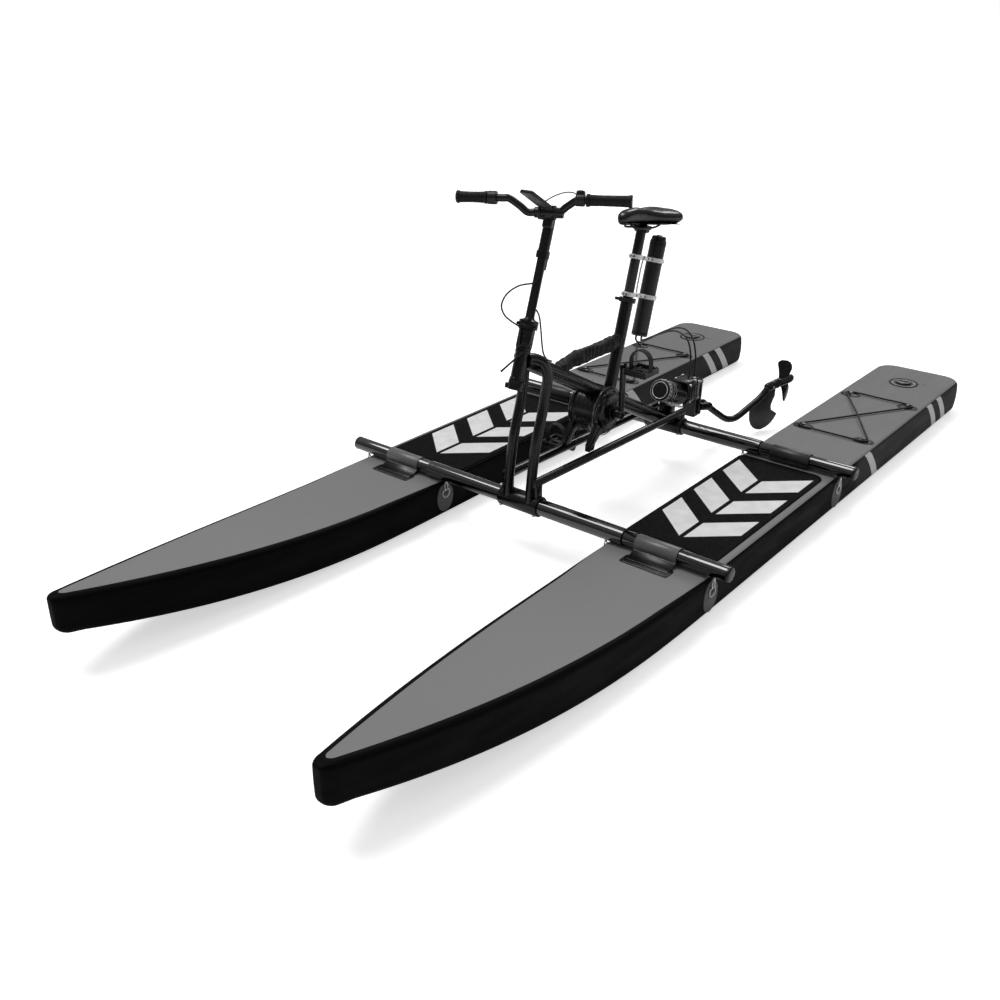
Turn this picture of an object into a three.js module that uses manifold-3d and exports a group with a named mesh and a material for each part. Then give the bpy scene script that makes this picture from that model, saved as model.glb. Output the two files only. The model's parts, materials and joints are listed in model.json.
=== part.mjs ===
// A pontoon water bike: two inflated hulls under two cross bars, with a pedalled bike frame between them.
// Millimetres. +X is the rider's left, +Y is aft, +Z is up. The hulls stand on z = 0.
import * as THREE from 'three';
import { mergeVertices } from 'three/addons/utils/BufferGeometryUtils.js';
import Module from 'manifold-3d';

const wasm = await Module();
wasm.setup();

// gaps and overruns that every fit uses
const gap = 0.3;
const runningGap = 0.35;
const overrun = 6;
// how far a fused form sinks into its neighbour
const bite = 1;

// facets of round pieces, so that a tube and its bore match; a cut in another piece is finer
const roundSides = 14;
const cutterSides = 24;

// hulls
const hull = {
  length: 3574,
  width: 360,
  depth: 140,
  offset: 520,
  bowLength: 1350,
  tipHalfWidth: 24,
  noseBottom: 116,
  noseTop: 235,
  rockerLength: 1100,
  bottomCorner: 22,
  topCorner: 14,
  sternCorner: 58,
  patchRadius: 40,
  patchThick: 4,
  patchHeight: 84,
  ringRadius: 17,
  ringWire: 3.5,
  buttonRadius: 9,
  buttonHeight: 9,
  eyeletRadius: 24,
  eyeletThick: 3,
};

// cross bars and what holds them
const bar = {
  frontY: -437,
  rearY: 463,
  z: 168,
  halfLength: 762,
  coreRadius: 27,
  coreHalfLength: 400,
  endRadius: 23.5,
  wall: 2.5,
  insert: 120,
  capRound: 6,
};
const strap = {
  width: 150,
  thick: 3.2,
  footLength: 62,
  footThick: 4,
};
const pad = {
  clear: 1.5,
  width: 316,
  thick: 5,
  corner: 40,
};
const valve = {
  fromStern: 212,
  seatRadius: 46,
  seatThick: 4,
  capRadius: 30,
  capThick: 12,
  gripWidth: 8,
  gripHeight: 5,
};
const bungee = {
  fromStern: 496,
  span: 459,
  halfWidth: 120,
  radius: 3.5,
  crossLift: 8,
  slack: 3,
};

// fixed bike frame
const clamp = {
  radius: 34,
  halfLength: 78,
  saddleHalf: 14,
  saddleFoot: 3,
};
const rail = {
  x: 58,
  frontZ: 249,
  rearZ: 219,
  radius: 14.5,
  wall: 2.5,
};
const post = {
  x: 45,
  topShare: 0.74,
  radius: 16.5,
  wall: 2.5,
  inset: 1,
  footForward: 16,
  footLean: 4,
  footRise: 60,
  reach: 74,
  drop: 277,
  tuck: 8,
  tipTuck: 6,
};
const beam = {
  radius: 27,
  wall: 3,
  frontY: -430,
  frontZ: 644,
  rearY: 440,
  rearZ: 185,
};
const steer = {
  rake: 18,
  turn: 24,
  y: -470,
  z: 591,
  headRadius: 22,
  headBore: 15.4,
  headLength: 92,
  crownRadius: 25,
  crownDepth: 30,
  armLength: 25,
  armWidth: 18,
  armThick: 8,
  armRise: 5,
  armBoss: 4,
  bevel: 3,
  capProud: 2,
  capHeight: 16,
  hingeHeight: 171,
  hingeHalf: 22,
  flangeRadius: 30,
  flangeThick: 13,
  pinRadius: 5,
};
const mast = {
  radius: 14,
  shoulder: 7,
  top: 450,
  stemRadius: 17,
  stemFoot: 371,
  stemTop: 484,
  boreTop: 487,
  collarRadius: 20.5,
  collarHeight: 22,
  earWidth: 14,
  earReach: 10,
  earInset: 3,
  leverLength: 44,
  leverThick: 6,
  leverHalf: 4.5,
  leverEye: 6,
};
const handle = {
  forward: 34,
  height: 502,
  halfLength: 257,
  radius: 11.1,
  coreRadius: 15.6,
  coreHalfLength: 44,
  clampRadius: 21,
  clampHalfLength: 21,
  roll: 8.6,
  shift: -18,
  neckDrop: 26,
  neckRise: 8,
  rise: 37,
  sweep: 12,
  bendStart: 46,
  bendEnd: 98,
  gripRadius: 16.5,
  leftGripLength: 128,
  rightGripLength: 90,
  collarRadius: 18.5,
  collarLength: 9,
  gripPast: 5,
  gripBevel: 2,
  gripWaist: 1,
};
const throttle = {
  radius: 19.5,
  length: 26,
  bodyX: 152,
  paddleLength: 40,
  paddleWidth: 16,
  paddleThick: 7,
  paddleBite: 4,
};
const switchBox = {
  x: 111,
  radius: 18,
  length: 26,
  boxDepth: 24,
  boxRise: 8,
  boxBite: 4,
};
const display = {
  width: 50,
  length: 100,
  thick: 11,
  x: -27,
  forward: 120,
  rise: 24,
  tilt: 15,
  turn: 31,
  ringHalfLength: 4.5,
  ringX: -27,
  ringRadius: 20,
  stalkFront: 60,
  stalkRear: 4,
  stalkThick: 5,
};
const foldLever = {
  x: 20,
  height: 106,
  reach: 65,
  drop: 85,
  away: 6,
  radius: 3,
  lean: 2,
  pivotRadius: 7,
  pivotThick: 9,
  knob: 4,
};

// seat and battery
const seat = {
  tilt: 15.5,
  y: 101,
  z: 596,
  tubeRadius: 21.5,
  tubeTop: 116,
  tubeFoot: -222,
  postRadius: 17,
  postFoot: -20,
  collarRadius: 29,
  collarHeight: 17,
  earHalf: 9,
  earReach: 11,
  earInset: 2,
  leverLength: 60,
  leverThick: 8,
  leverHalf: 5,
  leverEye: 6.5,
  leverBack: 9,
};
const saddle = {
  length: 292,
  halfWidth: 84,
  noseHalfWidth: 21,
  behind: 3,
  top: 427,
  level: 7.5,
  depth: 46,
  crown: 9,
  shave: 5,
  railRadius: 3.5,
  railX: 22,
  railLength: 150,
  clampWidth: 34,
  clampLength: 52,
  railSink: 8,
  bridgeDrop: 8,
  bridgeRise: 5,
};
const battery = {
  offset: 127,
  radius: 28.5,
  foot: 6,
  top: 338,
  capRadius: 25,
  capHeight: 15,
  clampRadius: 34,
  clampHeight: 15,
  upperClamp: 270,
  lowerClamp: 143,
  armWidth: 26,
  bevel: 5,
  capStep: 2,
  capBevel: 4,
  postRing: 6,
  earHalf: 6,
  earReach: 16,
  earBite: 4,
  earInset: 2,
};

// sleeve over the wiring between the seat tube and the beam
const sleeve = {
  radius: 25,
  frontY: -268,
  frontZ: 566,
  midZ: 582,
  sag: 3,
};

// pedal drive
const crank = {
  y: -20,
  z: 366,
  length: 172,
  spindleRadius: 10,
  bossRadius: 17,
  innerX: 76,
  outerX: 104,
  armThick: 13,
  armHalfWidth: 11,
  eyeRadius: 14,
  pinRadius: 5,
  pinLength: 102,
};
const drum = {
  radius: 82,
  rimRadius: 90,
  farX: -60,
  rimThick: 11,
  nearX: 44,
  capRadius: 64,
  capX: 56,
  hubRadius: 27,
  hubX: 70,
  hubFar: 14,
  bevel: 4,
  round: 8,
  legThick: 18,
};
const pedal = {
  innerX: 124,
  length: 86,
  width: 84,
  height: 20,
  rim: 9,
  barrelRadius: 10,
  strapHeight: 74,
  strapWidth: 22,
  strapThick: 3.5,
};

// drive at the stern end of the frame
const motor = {
  y: 400,
  z: 315,
  tilt: 22,
  length: 160,
  radius: 39,
  ringRadius: 43,
  ringThick: 14,
  bevel: 5,
  round: 8,
  ribs: 2,
  ribThick: 6,
  ribDepth: 3,
  mountHalfWidth: 26,
  mountHalfLength: 18,
  mountBite: 8,
};
const gearbox = {
  y: 542,
  length: 88,
  halfWidth: 42,
  bottom: 222,
  top: 312,
  corner: 16,
};
const swivel = {
  y: 680,
  top: 270,
  bottom: 142,
  plateThick: 11,
  plateHalfWidth: 27,
  backThick: 12,
  backDrop: 8,
  pinBelow: 6,
  pinAbove: 8,
  pinPast: 4,
  neckBite: 7,
  neckReach: 8,
  neckRise: 6,
  pinRadius: 9,
  headRadius: 25,
  tiltReach: 56,
  tiltZ: 166,
  earRadius: 17,
  earThick: 9,
  earGap: 30,
  tiltPinRadius: 6,
};
const leg = {
  radius: 13.2,
  eyeRadius: 15,
  housingRadius: 18,
  housingLength: 62,
  housingBite: 14,
  shoulder: 16,
  shoulderProud: 2,
};
const screw = {
  reach: 451,
  z: 207,
  slope: 12,
  radius: 94,
  hubRadius: 19,
  hubLength: 58,
  noseLength: 20,
  bladeThick: 4.5,
  bladeHalfWidth: 23,
  bladePitch: 54,
};
const fin = {
  thick: 9,
  rootReach: 300,
  rootZ: 126,
  frontReach: 289,
  bellyZ: 76,
  footReach: 352,
  footZ: 6,
  rearReach: 432,
  rearZ: 66,
  notchReach: 402,
  notchZ: 86,
  rearInset: 12,
  bow: 4,
  heel: 8,
  lift: 6,
  toe: 22,
  sweep: 14,
  step: 18,
  rise: 60,
};
const cable = {
  radius: 2.6,
  leadRadius: 3.4,
};

// finishes
const finish = (color, roughness, metalness) =>
  new THREE.MeshStandardMaterial({ color, roughness, metalness });
const finishes = {
  pvc: finish(0x4a4a4c, 0.62, 0),
  padFoam: finish(0x161617, 0.75, 0),
  blackPlastic: finish(0x17181a, 0.5, 0),
  rubber: finish(0x141414, 0.8, 0),
  frameBlack: finish(0x1b1c1e, 0.42, 0.35),
  alloy: finish(0x8d9094, 0.4, 0.9),
  webbing: finish(0x3b3b3d, 0.85, 0),
  cord: finish(0x101011, 0.7, 0),
  fabric: finish(0x1d1d1f, 0.9, 0),
  saddleSkin: finish(0x1a1a1c, 0.45, 0),
  screwBlack: finish(0x0f1011, 0.35, 0),
  finGrey: finish(0x55565a, 0.5, 0),
};

const model = new THREE.Group();
const steered = new THREE.Group();
const seated = new THREE.Group();
const towed = new THREE.Group();
model.add(steered, seated, towed);
const half = (value) => value / 2;
const radians = THREE.MathUtils.degToRad;
const point = (x, y, z) => new THREE.Vector3(x, y, z);
const axisX = point(1, 0, 0);
const axisY = point(0, 1, 0);
const axisZ = point(0, 0, 1);

// the turned groups: the steering axis, the seat post's axis and the swung drive leg
steered.position.set(0, steer.y, steer.z);
steered.rotation.set(-radians(steer.rake), 0, radians(steer.turn), 'XYZ');
seated.position.set(0, seat.y, seat.z);
seated.rotation.x = -radians(seat.tilt);
towed.position.set(0, swivel.y, 0);
towed.rotation.z = -radians(steer.turn);

// turns a geometry's faces outwards if its volume counts as negative
function outward(geometry) {
  const place = geometry.attributes.position;
  const order = geometry.index.array;
  const a = point(0, 0, 0);
  const b = point(0, 0, 0);
  const c = point(0, 0, 0);
  let volume = 0;
  for (let i = 0; i < order.length; i += 3) {
    a.fromBufferAttribute(place, order[i]);
    b.fromBufferAttribute(place, order[i + 1]);
    c.fromBufferAttribute(place, order[i + 2]);
    volume += a.dot(b.cross(c));
  }
  if (volume < 0) {
    for (let i = 0; i < order.length; i += 3) {
      const kept = order[i];
      order[i] = order[i + 1];
      order[i + 1] = kept;
    }
  }
  return geometry;
}

// shares the vertices of a geometry and points its faces outwards
function closed(geometry) {
  const bare = geometry.clone();
  bare.deleteAttribute('normal');
  bare.deleteAttribute('uv');
  return outward(mergeVertices(bare, 1e-4));
}

function solidOf(geometry) {
  const shared = closed(geometry);
  return new wasm.Manifold(new wasm.Mesh({
    numProp: 3,
    vertProperties: new Float32Array(shared.attributes.position.array),
    triVerts: new Uint32Array(shared.index.array),
  }));
}

function geometryOf(solid) {
  const result = solid.getMesh();
  const geometry = new THREE.BufferGeometry();
  geometry.setAttribute('position', new THREE.BufferAttribute(result.vertProperties, 3));
  geometry.setIndex(new THREE.BufferAttribute(result.triVerts, 1));
  return geometry;
}

function join(first, ...others) {
  return geometryOf(others.reduce((sum, other) => sum.add(solidOf(other)), solidOf(first)));
}

function cut(first, ...tools) {
  return geometryOf(tools.reduce((left, tool) => left.subtract(solidOf(tool)), solidOf(first)));
}

function keep(name, geometry, material, group = model) {
  const mesh = new THREE.Mesh(closed(geometry), material);
  mesh.name = name;
  group.add(mesh);
  return mesh;
}

// a box between two corners
function block(low, high) {
  const size = high.clone().sub(low);
  const geometry = new THREE.BoxGeometry(size.x, size.y, size.z);
  return geometry.translate(half(low.x + high.x), half(low.y + high.y), half(low.z + high.z));
}

// places a geometry that was made round or along +Y so that it runs from one point to another
function between(geometry, from, to) {
  const way = to.clone().sub(from).normalize();
  geometry.applyQuaternion(new THREE.Quaternion().setFromUnitVectors(axisY, way));
  return geometry.translate(from.x, from.y, from.z);
}

// a round bar
function rod(from, to, radius, sides = roundSides) {
  const length = from.distanceTo(to);
  const geometry = new THREE.CylinderGeometry(radius, radius, length, sides);
  return between(geometry.translate(0, half(length), 0), from, to);
}

// a turned piece: its profile lists radius and distance along the line from one point to another
function turned(profile, from, to, sides = roundSides) {
  const outline = profile.map(([radius, along]) => new THREE.Vector2(radius, along));
  return between(new THREE.LatheGeometry(outline, sides), from, to);
}

// an open tube with a straight bore
function pipe(from, to, outer, inner, sides = roundSides) {
  const length = from.distanceTo(to);
  const profile = [[inner, 0], [outer, 0], [outer, length], [inner, length], [inner, 0]];
  return turned(profile, from, to, sides);
}

// a tube along a curve, with a bore where a wall is given
function bent(curve, outer, steps, sides = roundSides, wall = 0) {
  const outline = new THREE.Shape();
  outline.absarc(0, 0, outer, 0, Math.PI * 2);
  if (wall > 0) {
    outline.holes.push(new THREE.Path().absarc(0, 0, outer - wall, 0, Math.PI * 2, true));
  }
  return new THREE.ExtrudeGeometry(outline, {
    steps,
    extrudePath: curve,
    bevelEnabled: false,
    curveSegments: half(sides),
  });
}

function smooth(points) {
  return new THREE.CatmullRomCurve3(points, false, 'centripetal');
}

// an outline in the plane of Y and Z, made thick along X from one place to another
function slab(outline, fromX, toX, curveSegments = 10) {
  const geometry = new THREE.ExtrudeGeometry(outline, {
    depth: toX - fromX,
    bevelEnabled: false,
    curveSegments,
  });
  geometry.applyMatrix4(new THREE.Matrix4().makeBasis(axisY, axisZ, axisX));
  return geometry.translate(fromX, 0, 0);
}

// an outline in the plane of X and Y, made thick upwards
function plate(outline, fromZ, toZ, curveSegments = 8) {
  const geometry = new THREE.ExtrudeGeometry(outline, {
    depth: toZ - fromZ,
    bevelEnabled: false,
    curveSegments,
  });
  return geometry.translate(0, 0, fromZ);
}

function roundedRectangle(lowX, lowY, highX, highY, corner) {
  const shape = new THREE.Shape();
  shape.moveTo(lowX + corner, lowY);
  shape.lineTo(highX - corner, lowY);
  shape.absarc(highX - corner, lowY + corner, corner, -Math.PI / 2, 0);
  shape.lineTo(highX, highY - corner);
  shape.absarc(highX - corner, highY - corner, corner, 0, Math.PI / 2);
  shape.lineTo(lowX + corner, highY);
  shape.absarc(lowX + corner, highY - corner, corner, Math.PI / 2, Math.PI);
  shape.lineTo(lowX, lowY + corner);
  shape.absarc(lowX + corner, lowY + corner, corner, Math.PI, Math.PI * 1.5);
  return shape;
}

// rings with the same number of points each, joined into one closed skin with flat ends
function loft(rings) {
  const places = [];
  const order = [];
  const count = rings[0].length;
  rings.forEach((ring) => ring.forEach((at) => places.push(at.x, at.y, at.z)));
  for (let row = 0; row < rings.length - 1; row += 1) {
    for (let i = 0; i < count; i += 1) {
      const next = (i + 1) % count;
      const a = row * count + i;
      const b = row * count + next;
      order.push(a, b, b + count, a, b + count, a + count);
    }
  }
  const endFan = (start, flip) => {
    const middle = places.length / 3;
    const centre = rings[start].reduce((sum, at) => sum.add(at), point(0, 0, 0));
    centre.multiplyScalar(1 / count);
    places.push(centre.x, centre.y, centre.z);
    for (let i = 0; i < count; i += 1) {
      const next = (i + 1) % count;
      const a = start * count + i;
      const b = start * count + next;
      order.push(...(flip ? [middle, b, a] : [middle, a, b]));
    }
  };
  endFan(0, true);
  endFan(rings.length - 1, false);
  const geometry = new THREE.BufferGeometry();
  geometry.setAttribute('position', new THREE.Float32BufferAttribute(places, 3));
  geometry.setIndex(order);
  return outward(geometry);
}

// half the hull's width at a distance from its stern: full, then drawn in to a narrow round tip
const hullEnd = half(hull.length);
const bowStart = -hullEnd + hull.bowLength;
const rockerStart = -hullEnd + hull.rockerLength;
const valveY = hullEnd - valve.fromStern;
const bungeeRear = hullEnd - bungee.fromStern;
const bungeeFront = bungeeRear - bungee.span;
function hullHalfWidth(y) {
  const full = half(hull.width);
  if (y < bowStart) {
    const share = (bowStart - y) / hull.bowLength;
    const taperShare = 1 - share ** 1.9;
    const tipShare = Math.sqrt(Math.max(0, 1 - Math.max(0, (share - 0.985) / 0.015) ** 2));
    const body = hull.tipHalfWidth + (full - hull.tipHalfWidth) * taperShare;
    return body * (0.35 + 0.65 * tipShare);
  }
  const inCorner = y - (hullEnd - hull.sternCorner);
  if (inCorner > 0) {
    const rounded = Math.sqrt(Math.max(0, hull.sternCorner ** 2 - inCorner ** 2));
    return full - hull.sternCorner + rounded;
  }
  return full;
}

// how far the bow has risen at a place, as a share of its whole rise
function rockerShare(y) {
  const share = Math.max(0, (rockerStart - y) / hull.rockerLength);
  return share ** 2;
}

const hullTop = (y) => hull.depth + (hull.noseTop - hull.depth) * rockerShare(y);
const hullBottom = (y) => hull.noseBottom * rockerShare(y);

function hullRing(side, y) {
  const reach = hullHalfWidth(y);
  const low = hullBottom(y);
  const high = hullTop(y);
  const bottomCorner = Math.min(hull.bottomCorner, reach * 0.8);
  const topCorner = Math.min(hull.topCorner, reach * 0.6);
  const ring = [];
  const corner = (x, z, radius, start) => {
    for (let i = 0; i <= 2; i += 1) {
      const angle = radians(start + i * 45);
      const across = x + radius * Math.cos(angle);
      ring.push(point(side * hull.offset + across, y, z + radius * Math.sin(angle)));
    }
  };
  corner(reach - bottomCorner, low + bottomCorner, bottomCorner, -90);
  corner(reach - topCorner, high - topCorner, topCorner, 0);
  corner(-reach + topCorner, high - topCorner, topCorner, 90);
  corner(-reach + bottomCorner, low + bottomCorner, bottomCorner, 180);
  return ring;
}

function hullStations() {
  const bowShares = [0, 0.0075, 0.015, 0.06, 0.15, 0.26, 0.38, 0.5, 0.64, 0.8];
  const sternAngles = [0, 35, 62, 90];
  const stations = bowShares.map((share) => -hullEnd + share * hull.bowLength);
  stations.push(bowStart);
  sternAngles.forEach((angle) => {
    stations.push(hullEnd - hull.sternCorner * (1 - Math.sin(radians(angle))));
  });
  return stations;
}

// a patch on a hull's side wall with the ring that the bar's side strap hooks into
function sidePatch(side, face, y) {
  const wall = side * hull.offset + face * half(hull.width);
  const sunk = point(wall - face * overrun, y, hull.patchHeight);
  const proud = point(wall + face * hull.patchThick, y, hull.patchHeight);
  const disk = rod(sunk, proud, hull.patchRadius, 12);
  const ring = new THREE.TorusGeometry(hull.ringRadius, hull.ringWire, 4, 9);
  ring.rotateY(Math.PI / 2);
  ring.translate(wall + face * (hull.patchThick + hull.ringWire * 0.6), y, hull.patchHeight);
  return [disk, ring];
}

// a round patch and button that the deck cord turns round
function deckButton(x, y) {
  const sunk = point(x, y, hull.depth - overrun);
  const proud = point(x, y, hull.depth + hull.eyeletThick);
  const top = point(x, y, hull.depth + hull.eyeletThick + hull.buttonHeight);
  return [rod(sunk, proud, hull.eyeletRadius, 10), rod(sunk, top, hull.buttonRadius, 8)];
}

function buildHull(side) {
  const rings = hullStations().map((y) => hullRing(side, y));
  const pieces = [];
  [bar.frontY, bar.rearY].forEach((y) => {
    pieces.push(...sidePatch(side, 1, y), ...sidePatch(side, -1, y));
  });
  [bungeeFront, bungeeRear].forEach((y) => {
    [-1, 1].forEach((end) => {
      pieces.push(...deckButton(side * hull.offset + end * bungee.halfWidth, y));
    });
  });
  const low = point(side * hull.offset, valveY, hull.depth - overrun);
  const high = point(side * hull.offset, valveY, hull.depth + valve.seatThick);
  pieces.push(rod(low, high, valve.seatRadius, 12));
  return join(loft(rings), ...pieces);
}

const strapReach = bar.endRadius + gap + strap.thick + strap.footLength;

// the cord turns round the four buttons and crosses itself in the middle
function buildBungee(side) {
  const away = hull.buttonRadius + bungee.radius * 2 + bungee.slack;
  const z = hull.depth + hull.eyeletThick + bungee.radius + gap;
  const middle = half(bungeeFront + bungeeRear);
  const at = (x, y, lift = 0) => point(side * hull.offset + x, y, z + lift);
  const outer = bungee.halfWidth + away;
  const frontY = bungeeFront - away;
  const rearY = bungeeRear + away;
  const quarter = half(half(bungeeRear - bungeeFront));
  const route = [
    at(0, frontY),
    at(half(bungee.halfWidth), frontY),
    at(bungee.halfWidth, frontY),
    at(outer, bungeeFront),
    at(half(bungee.halfWidth), middle - quarter, half(bungee.crossLift)),
    at(0, middle, bungee.crossLift),
    at(-half(bungee.halfWidth), middle + quarter, half(bungee.crossLift)),
    at(-outer, bungeeRear),
    at(-bungee.halfWidth, rearY),
    at(0, rearY),
    at(bungee.halfWidth, rearY),
    at(outer, bungeeRear),
    at(half(bungee.halfWidth), middle + quarter),
    at(0, middle),
    at(-half(bungee.halfWidth), middle - quarter),
    at(-outer, bungeeFront),
    at(-bungee.halfWidth, frontY),
    at(-half(bungee.halfWidth), frontY),
    at(-gap * 2, frontY),
  ];
  return bent(smooth(route), bungee.radius, 46, 8);
}

// the soft deck between the two bars' straps
function buildPad(side) {
  const x = side * hull.offset;
  const reach = half(pad.width);
  const inset = strapReach + pad.clear;
  const frontY = bar.frontY + inset;
  const rearY = bar.rearY - inset;
  const outline = roundedRectangle(x - reach, frontY, x + reach, rearY, pad.corner);
  return plate(outline, hull.depth + gap, hull.depth + gap + pad.thick, 4);
}

function buildValveCap(side) {
  const x = side * hull.offset;
  const foot = hull.depth + valve.seatThick + gap;
  const top = foot + valve.capThick;
  const cap = rod(point(x, valveY, foot), point(x, valveY, top), valve.capRadius);
  const reach = valve.capRadius * 0.8;
  const grip = half(valve.gripWidth);
  const low = point(x - reach, valveY - grip, top - gap);
  const high = point(x + reach, valveY + grip, top + valve.gripHeight);
  return join(cap, block(low, high));
}

function buildBarCore(y) {
  const reach = bar.coreHalfLength;
  const inner = bar.endRadius + gap;
  return pipe(point(-reach, y, bar.z), point(reach, y, bar.z), bar.coreRadius, inner);
}

// an end tube is closed at its outer end and slides a little way into the core tube
function buildBarEnd(side, y) {
  const start = bar.coreHalfLength - bar.insert;
  const length = bar.halfLength - start;
  const inner = bar.endRadius - bar.wall;
  const round = bar.capRound;
  const profile = [
    [inner, 0],
    [bar.endRadius, 0],
    [bar.endRadius, length - round],
    [bar.endRadius - round * 0.3, length - round * 0.3],
    [bar.endRadius - round, length],
    [0, length],
    [0, length - round],
    [inner, length - round],
    [inner, 0],
  ];
  return turned(profile, point(side * start, y, bar.z), point(side * bar.halfLength, y, bar.z));
}

// webbing over a bar, glued to the deck in front of it and behind it
function buildStrap(side, y) {
  const foot = hull.depth + gap;
  const inner = bar.endRadius + gap;
  const outer = inner + strap.thick;
  const shoulder = foot + strap.footThick;
  const start = Math.asin((bar.z - shoulder) / outer);
  const shape = new THREE.Shape();
  shape.moveTo(y - outer - strap.footLength, foot);
  shape.lineTo(y + outer + strap.footLength, foot);
  shape.lineTo(y + outer + strap.footLength, shoulder);
  shape.absarc(y, bar.z, outer, -start, Math.PI + start);
  shape.lineTo(y - outer - strap.footLength, shoulder);
  shape.closePath();
  const hole = new THREE.Path();
  hole.absarc(y, bar.z, inner, 0, Math.PI * 2, true);
  shape.holes.push(hole);
  const x = side * hull.offset;
  return slab(shape, x - half(strap.width), x + half(strap.width), 12);
}

// lines and cutters that several frame pieces share
const beamFront = point(0, beam.frontY, beam.frontZ);
const beamRear = point(0, beam.rearY, beam.rearZ);
const pastShare = 0.05;
const beamCutter = () => rod(
  beamFront.clone().lerp(beamRear, -pastShare),
  beamFront.clone().lerp(beamRear, 1 + pastShare),
  beam.radius + gap,
  cutterSides,
);
const beamZ = (y) => beam.frontZ
  + (beam.rearZ - beam.frontZ) * ((y - beam.frontY) / (beam.rearY - beam.frontY));
const railZ = (y) => rail.frontZ
  + (rail.rearZ - rail.frontZ) * ((y - bar.frontY) / (bar.rearY - bar.frontY));
const steerSine = Math.sin(radians(steer.rake));
const steerCosine = Math.cos(radians(steer.rake));
const alongSteer = (distance) => point(
  0,
  steer.y + distance * steerSine,
  steer.z + distance * steerCosine,
);
const headCutter = () => rod(
  alongSteer(-overrun),
  alongSteer(steer.headLength + overrun),
  steer.headRadius + gap,
  cutterSides,
);
const seatSine = Math.sin(radians(seat.tilt));
const seatCosine = Math.cos(radians(seat.tilt));
const alongSeat = (distance) => point(
  0,
  seat.y + distance * seatSine,
  seat.z + distance * seatCosine,
);
const seatCutter = () => rod(
  alongSeat(seat.tubeFoot),
  alongSeat(seat.tubeTop),
  seat.tubeRadius + gap,
  cutterSides,
);
const clampCutter = (y) => rod(
  point(-clamp.halfLength - overrun, y, bar.z),
  point(clamp.halfLength + overrun, y, bar.z),
  clamp.radius + gap,
  cutterSides,
);

function postCurve(side) {
  const headZ = steer.z + steer.headLength * post.topShare * steerCosine;
  const headY = steer.y + steer.headLength * post.topShare * steerSine;
  const inner = post.radius + post.inset;
  const bend = (x, backShare, dropShare) => point(
    side * x,
    headY + post.reach * backShare,
    headZ - post.drop * dropShare,
  );
  const footY = bar.frontY - post.footForward;
  return smooth([
    point(side * post.x, footY, bar.z),
    point(side * post.x, footY + post.footLean, bar.z + post.footRise),
    bend(post.x, 0.32, 1),
    bend(post.x, 0.82, 0.556),
    bend(post.x, 1, 0.238),
    bend(post.x - post.tuck, 0.81, 0.079),
    bend(inner + post.tipTuck, 0.43, 0.014),
    bend(inner, 0, 0),
  ]);
}
const postSteps = 12;
const postSides = 10;
const postCutter = (side) => bent(postCurve(side), post.radius + gap, postSteps, postSides);

function buildPost(side) {
  const tube = bent(postCurve(side), post.radius, postSteps, postSides, post.wall);
  return cut(tube, headCutter(), clampCutter(bar.frontY));
}

function buildRail(side) {
  const front = point(side * rail.x, bar.frontY - overrun * 3, railZ(bar.frontY));
  const rear = point(side * rail.x, bar.rearY + overrun * 3, railZ(bar.rearY));
  const tube = pipe(front, rear, rail.radius, rail.radius - rail.wall);
  return cut(tube, postCutter(side));
}
const railCutter = (side) => rod(
  point(side * rail.x, bar.frontY - overrun * 4, railZ(bar.frontY)),
  point(side * rail.x, bar.rearY + overrun * 4, railZ(bar.rearY)),
  rail.radius + gap,
  cutterSides,
);

// a sleeve round a bar with saddles that carry the rails
function buildClamp(y) {
  const reach = clamp.halfLength;
  const bore = bar.coreRadius + gap;
  const tube = pipe(point(-reach, y, bar.z), point(reach, y, bar.z), clamp.radius, bore);
  const foot = bar.z + bar.coreRadius + clamp.saddleFoot;
  const saddles = [-1, 1].map((side) => block(
    point(side * rail.x - rail.radius, y - clamp.saddleHalf, foot),
    point(side * rail.x + rail.radius, y + clamp.saddleHalf, railZ(y)),
  ));
  const cutters = [railCutter(-1), railCutter(1)];
  if (y === bar.frontY) {
    cutters.push(postCutter(-1), postCutter(1));
  }
  return cut(join(tube, ...saddles), ...cutters);
}

function buildBeam() {
  const tube = pipe(beamFront, beamRear, beam.radius, beam.radius - beam.wall);
  return cut(tube, headCutter(), postCutter(-1), postCutter(1), clampCutter(bar.rearY));
}

// the seat tube ends in a split collar with an ear for its lever
function buildSeatTube() {
  const bore = seat.postRadius + runningGap;
  const collarTop = seat.tubeTop + seat.collarHeight;
  const tube = pipe(alongSeat(seat.tubeFoot), alongSeat(seat.tubeTop), seat.tubeRadius, bore);
  const collar = pipe(alongSeat(seat.tubeTop - bite), alongSeat(collarTop), seat.collarRadius, bore);
  const ear = block(
    point(-seat.earHalf, -seat.collarRadius - seat.earReach, seat.tubeTop + seat.earInset),
    point(seat.earHalf, -seat.tubeRadius, collarTop - seat.earInset),
  );
  ear.rotateX(-radians(seat.tilt));
  ear.translate(0, seat.y, seat.z);
  return cut(join(tube, collar, ear), beamCutter());
}

function buildHeadTube() {
  return pipe(alongSteer(0), alongSteer(steer.headLength), steer.headRadius, steer.headBore);
}

function buildSleeve() {
  const end = alongSeat(-half(sleeve.radius));
  const span = end.y - sleeve.frontY;
  const route = smooth([
    point(0, sleeve.frontY, sleeve.frontZ),
    point(0, sleeve.frontY + span * 0.2, sleeve.midZ - sleeve.sag),
    point(0, sleeve.frontY + span * 0.5, sleeve.midZ),
    point(0, sleeve.frontY + span * 0.8, sleeve.midZ),
    point(0, end.y, end.z),
  ]);
  return cut(bent(route, sleeve.radius, 8), beamCutter(), seatCutter());
}

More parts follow.
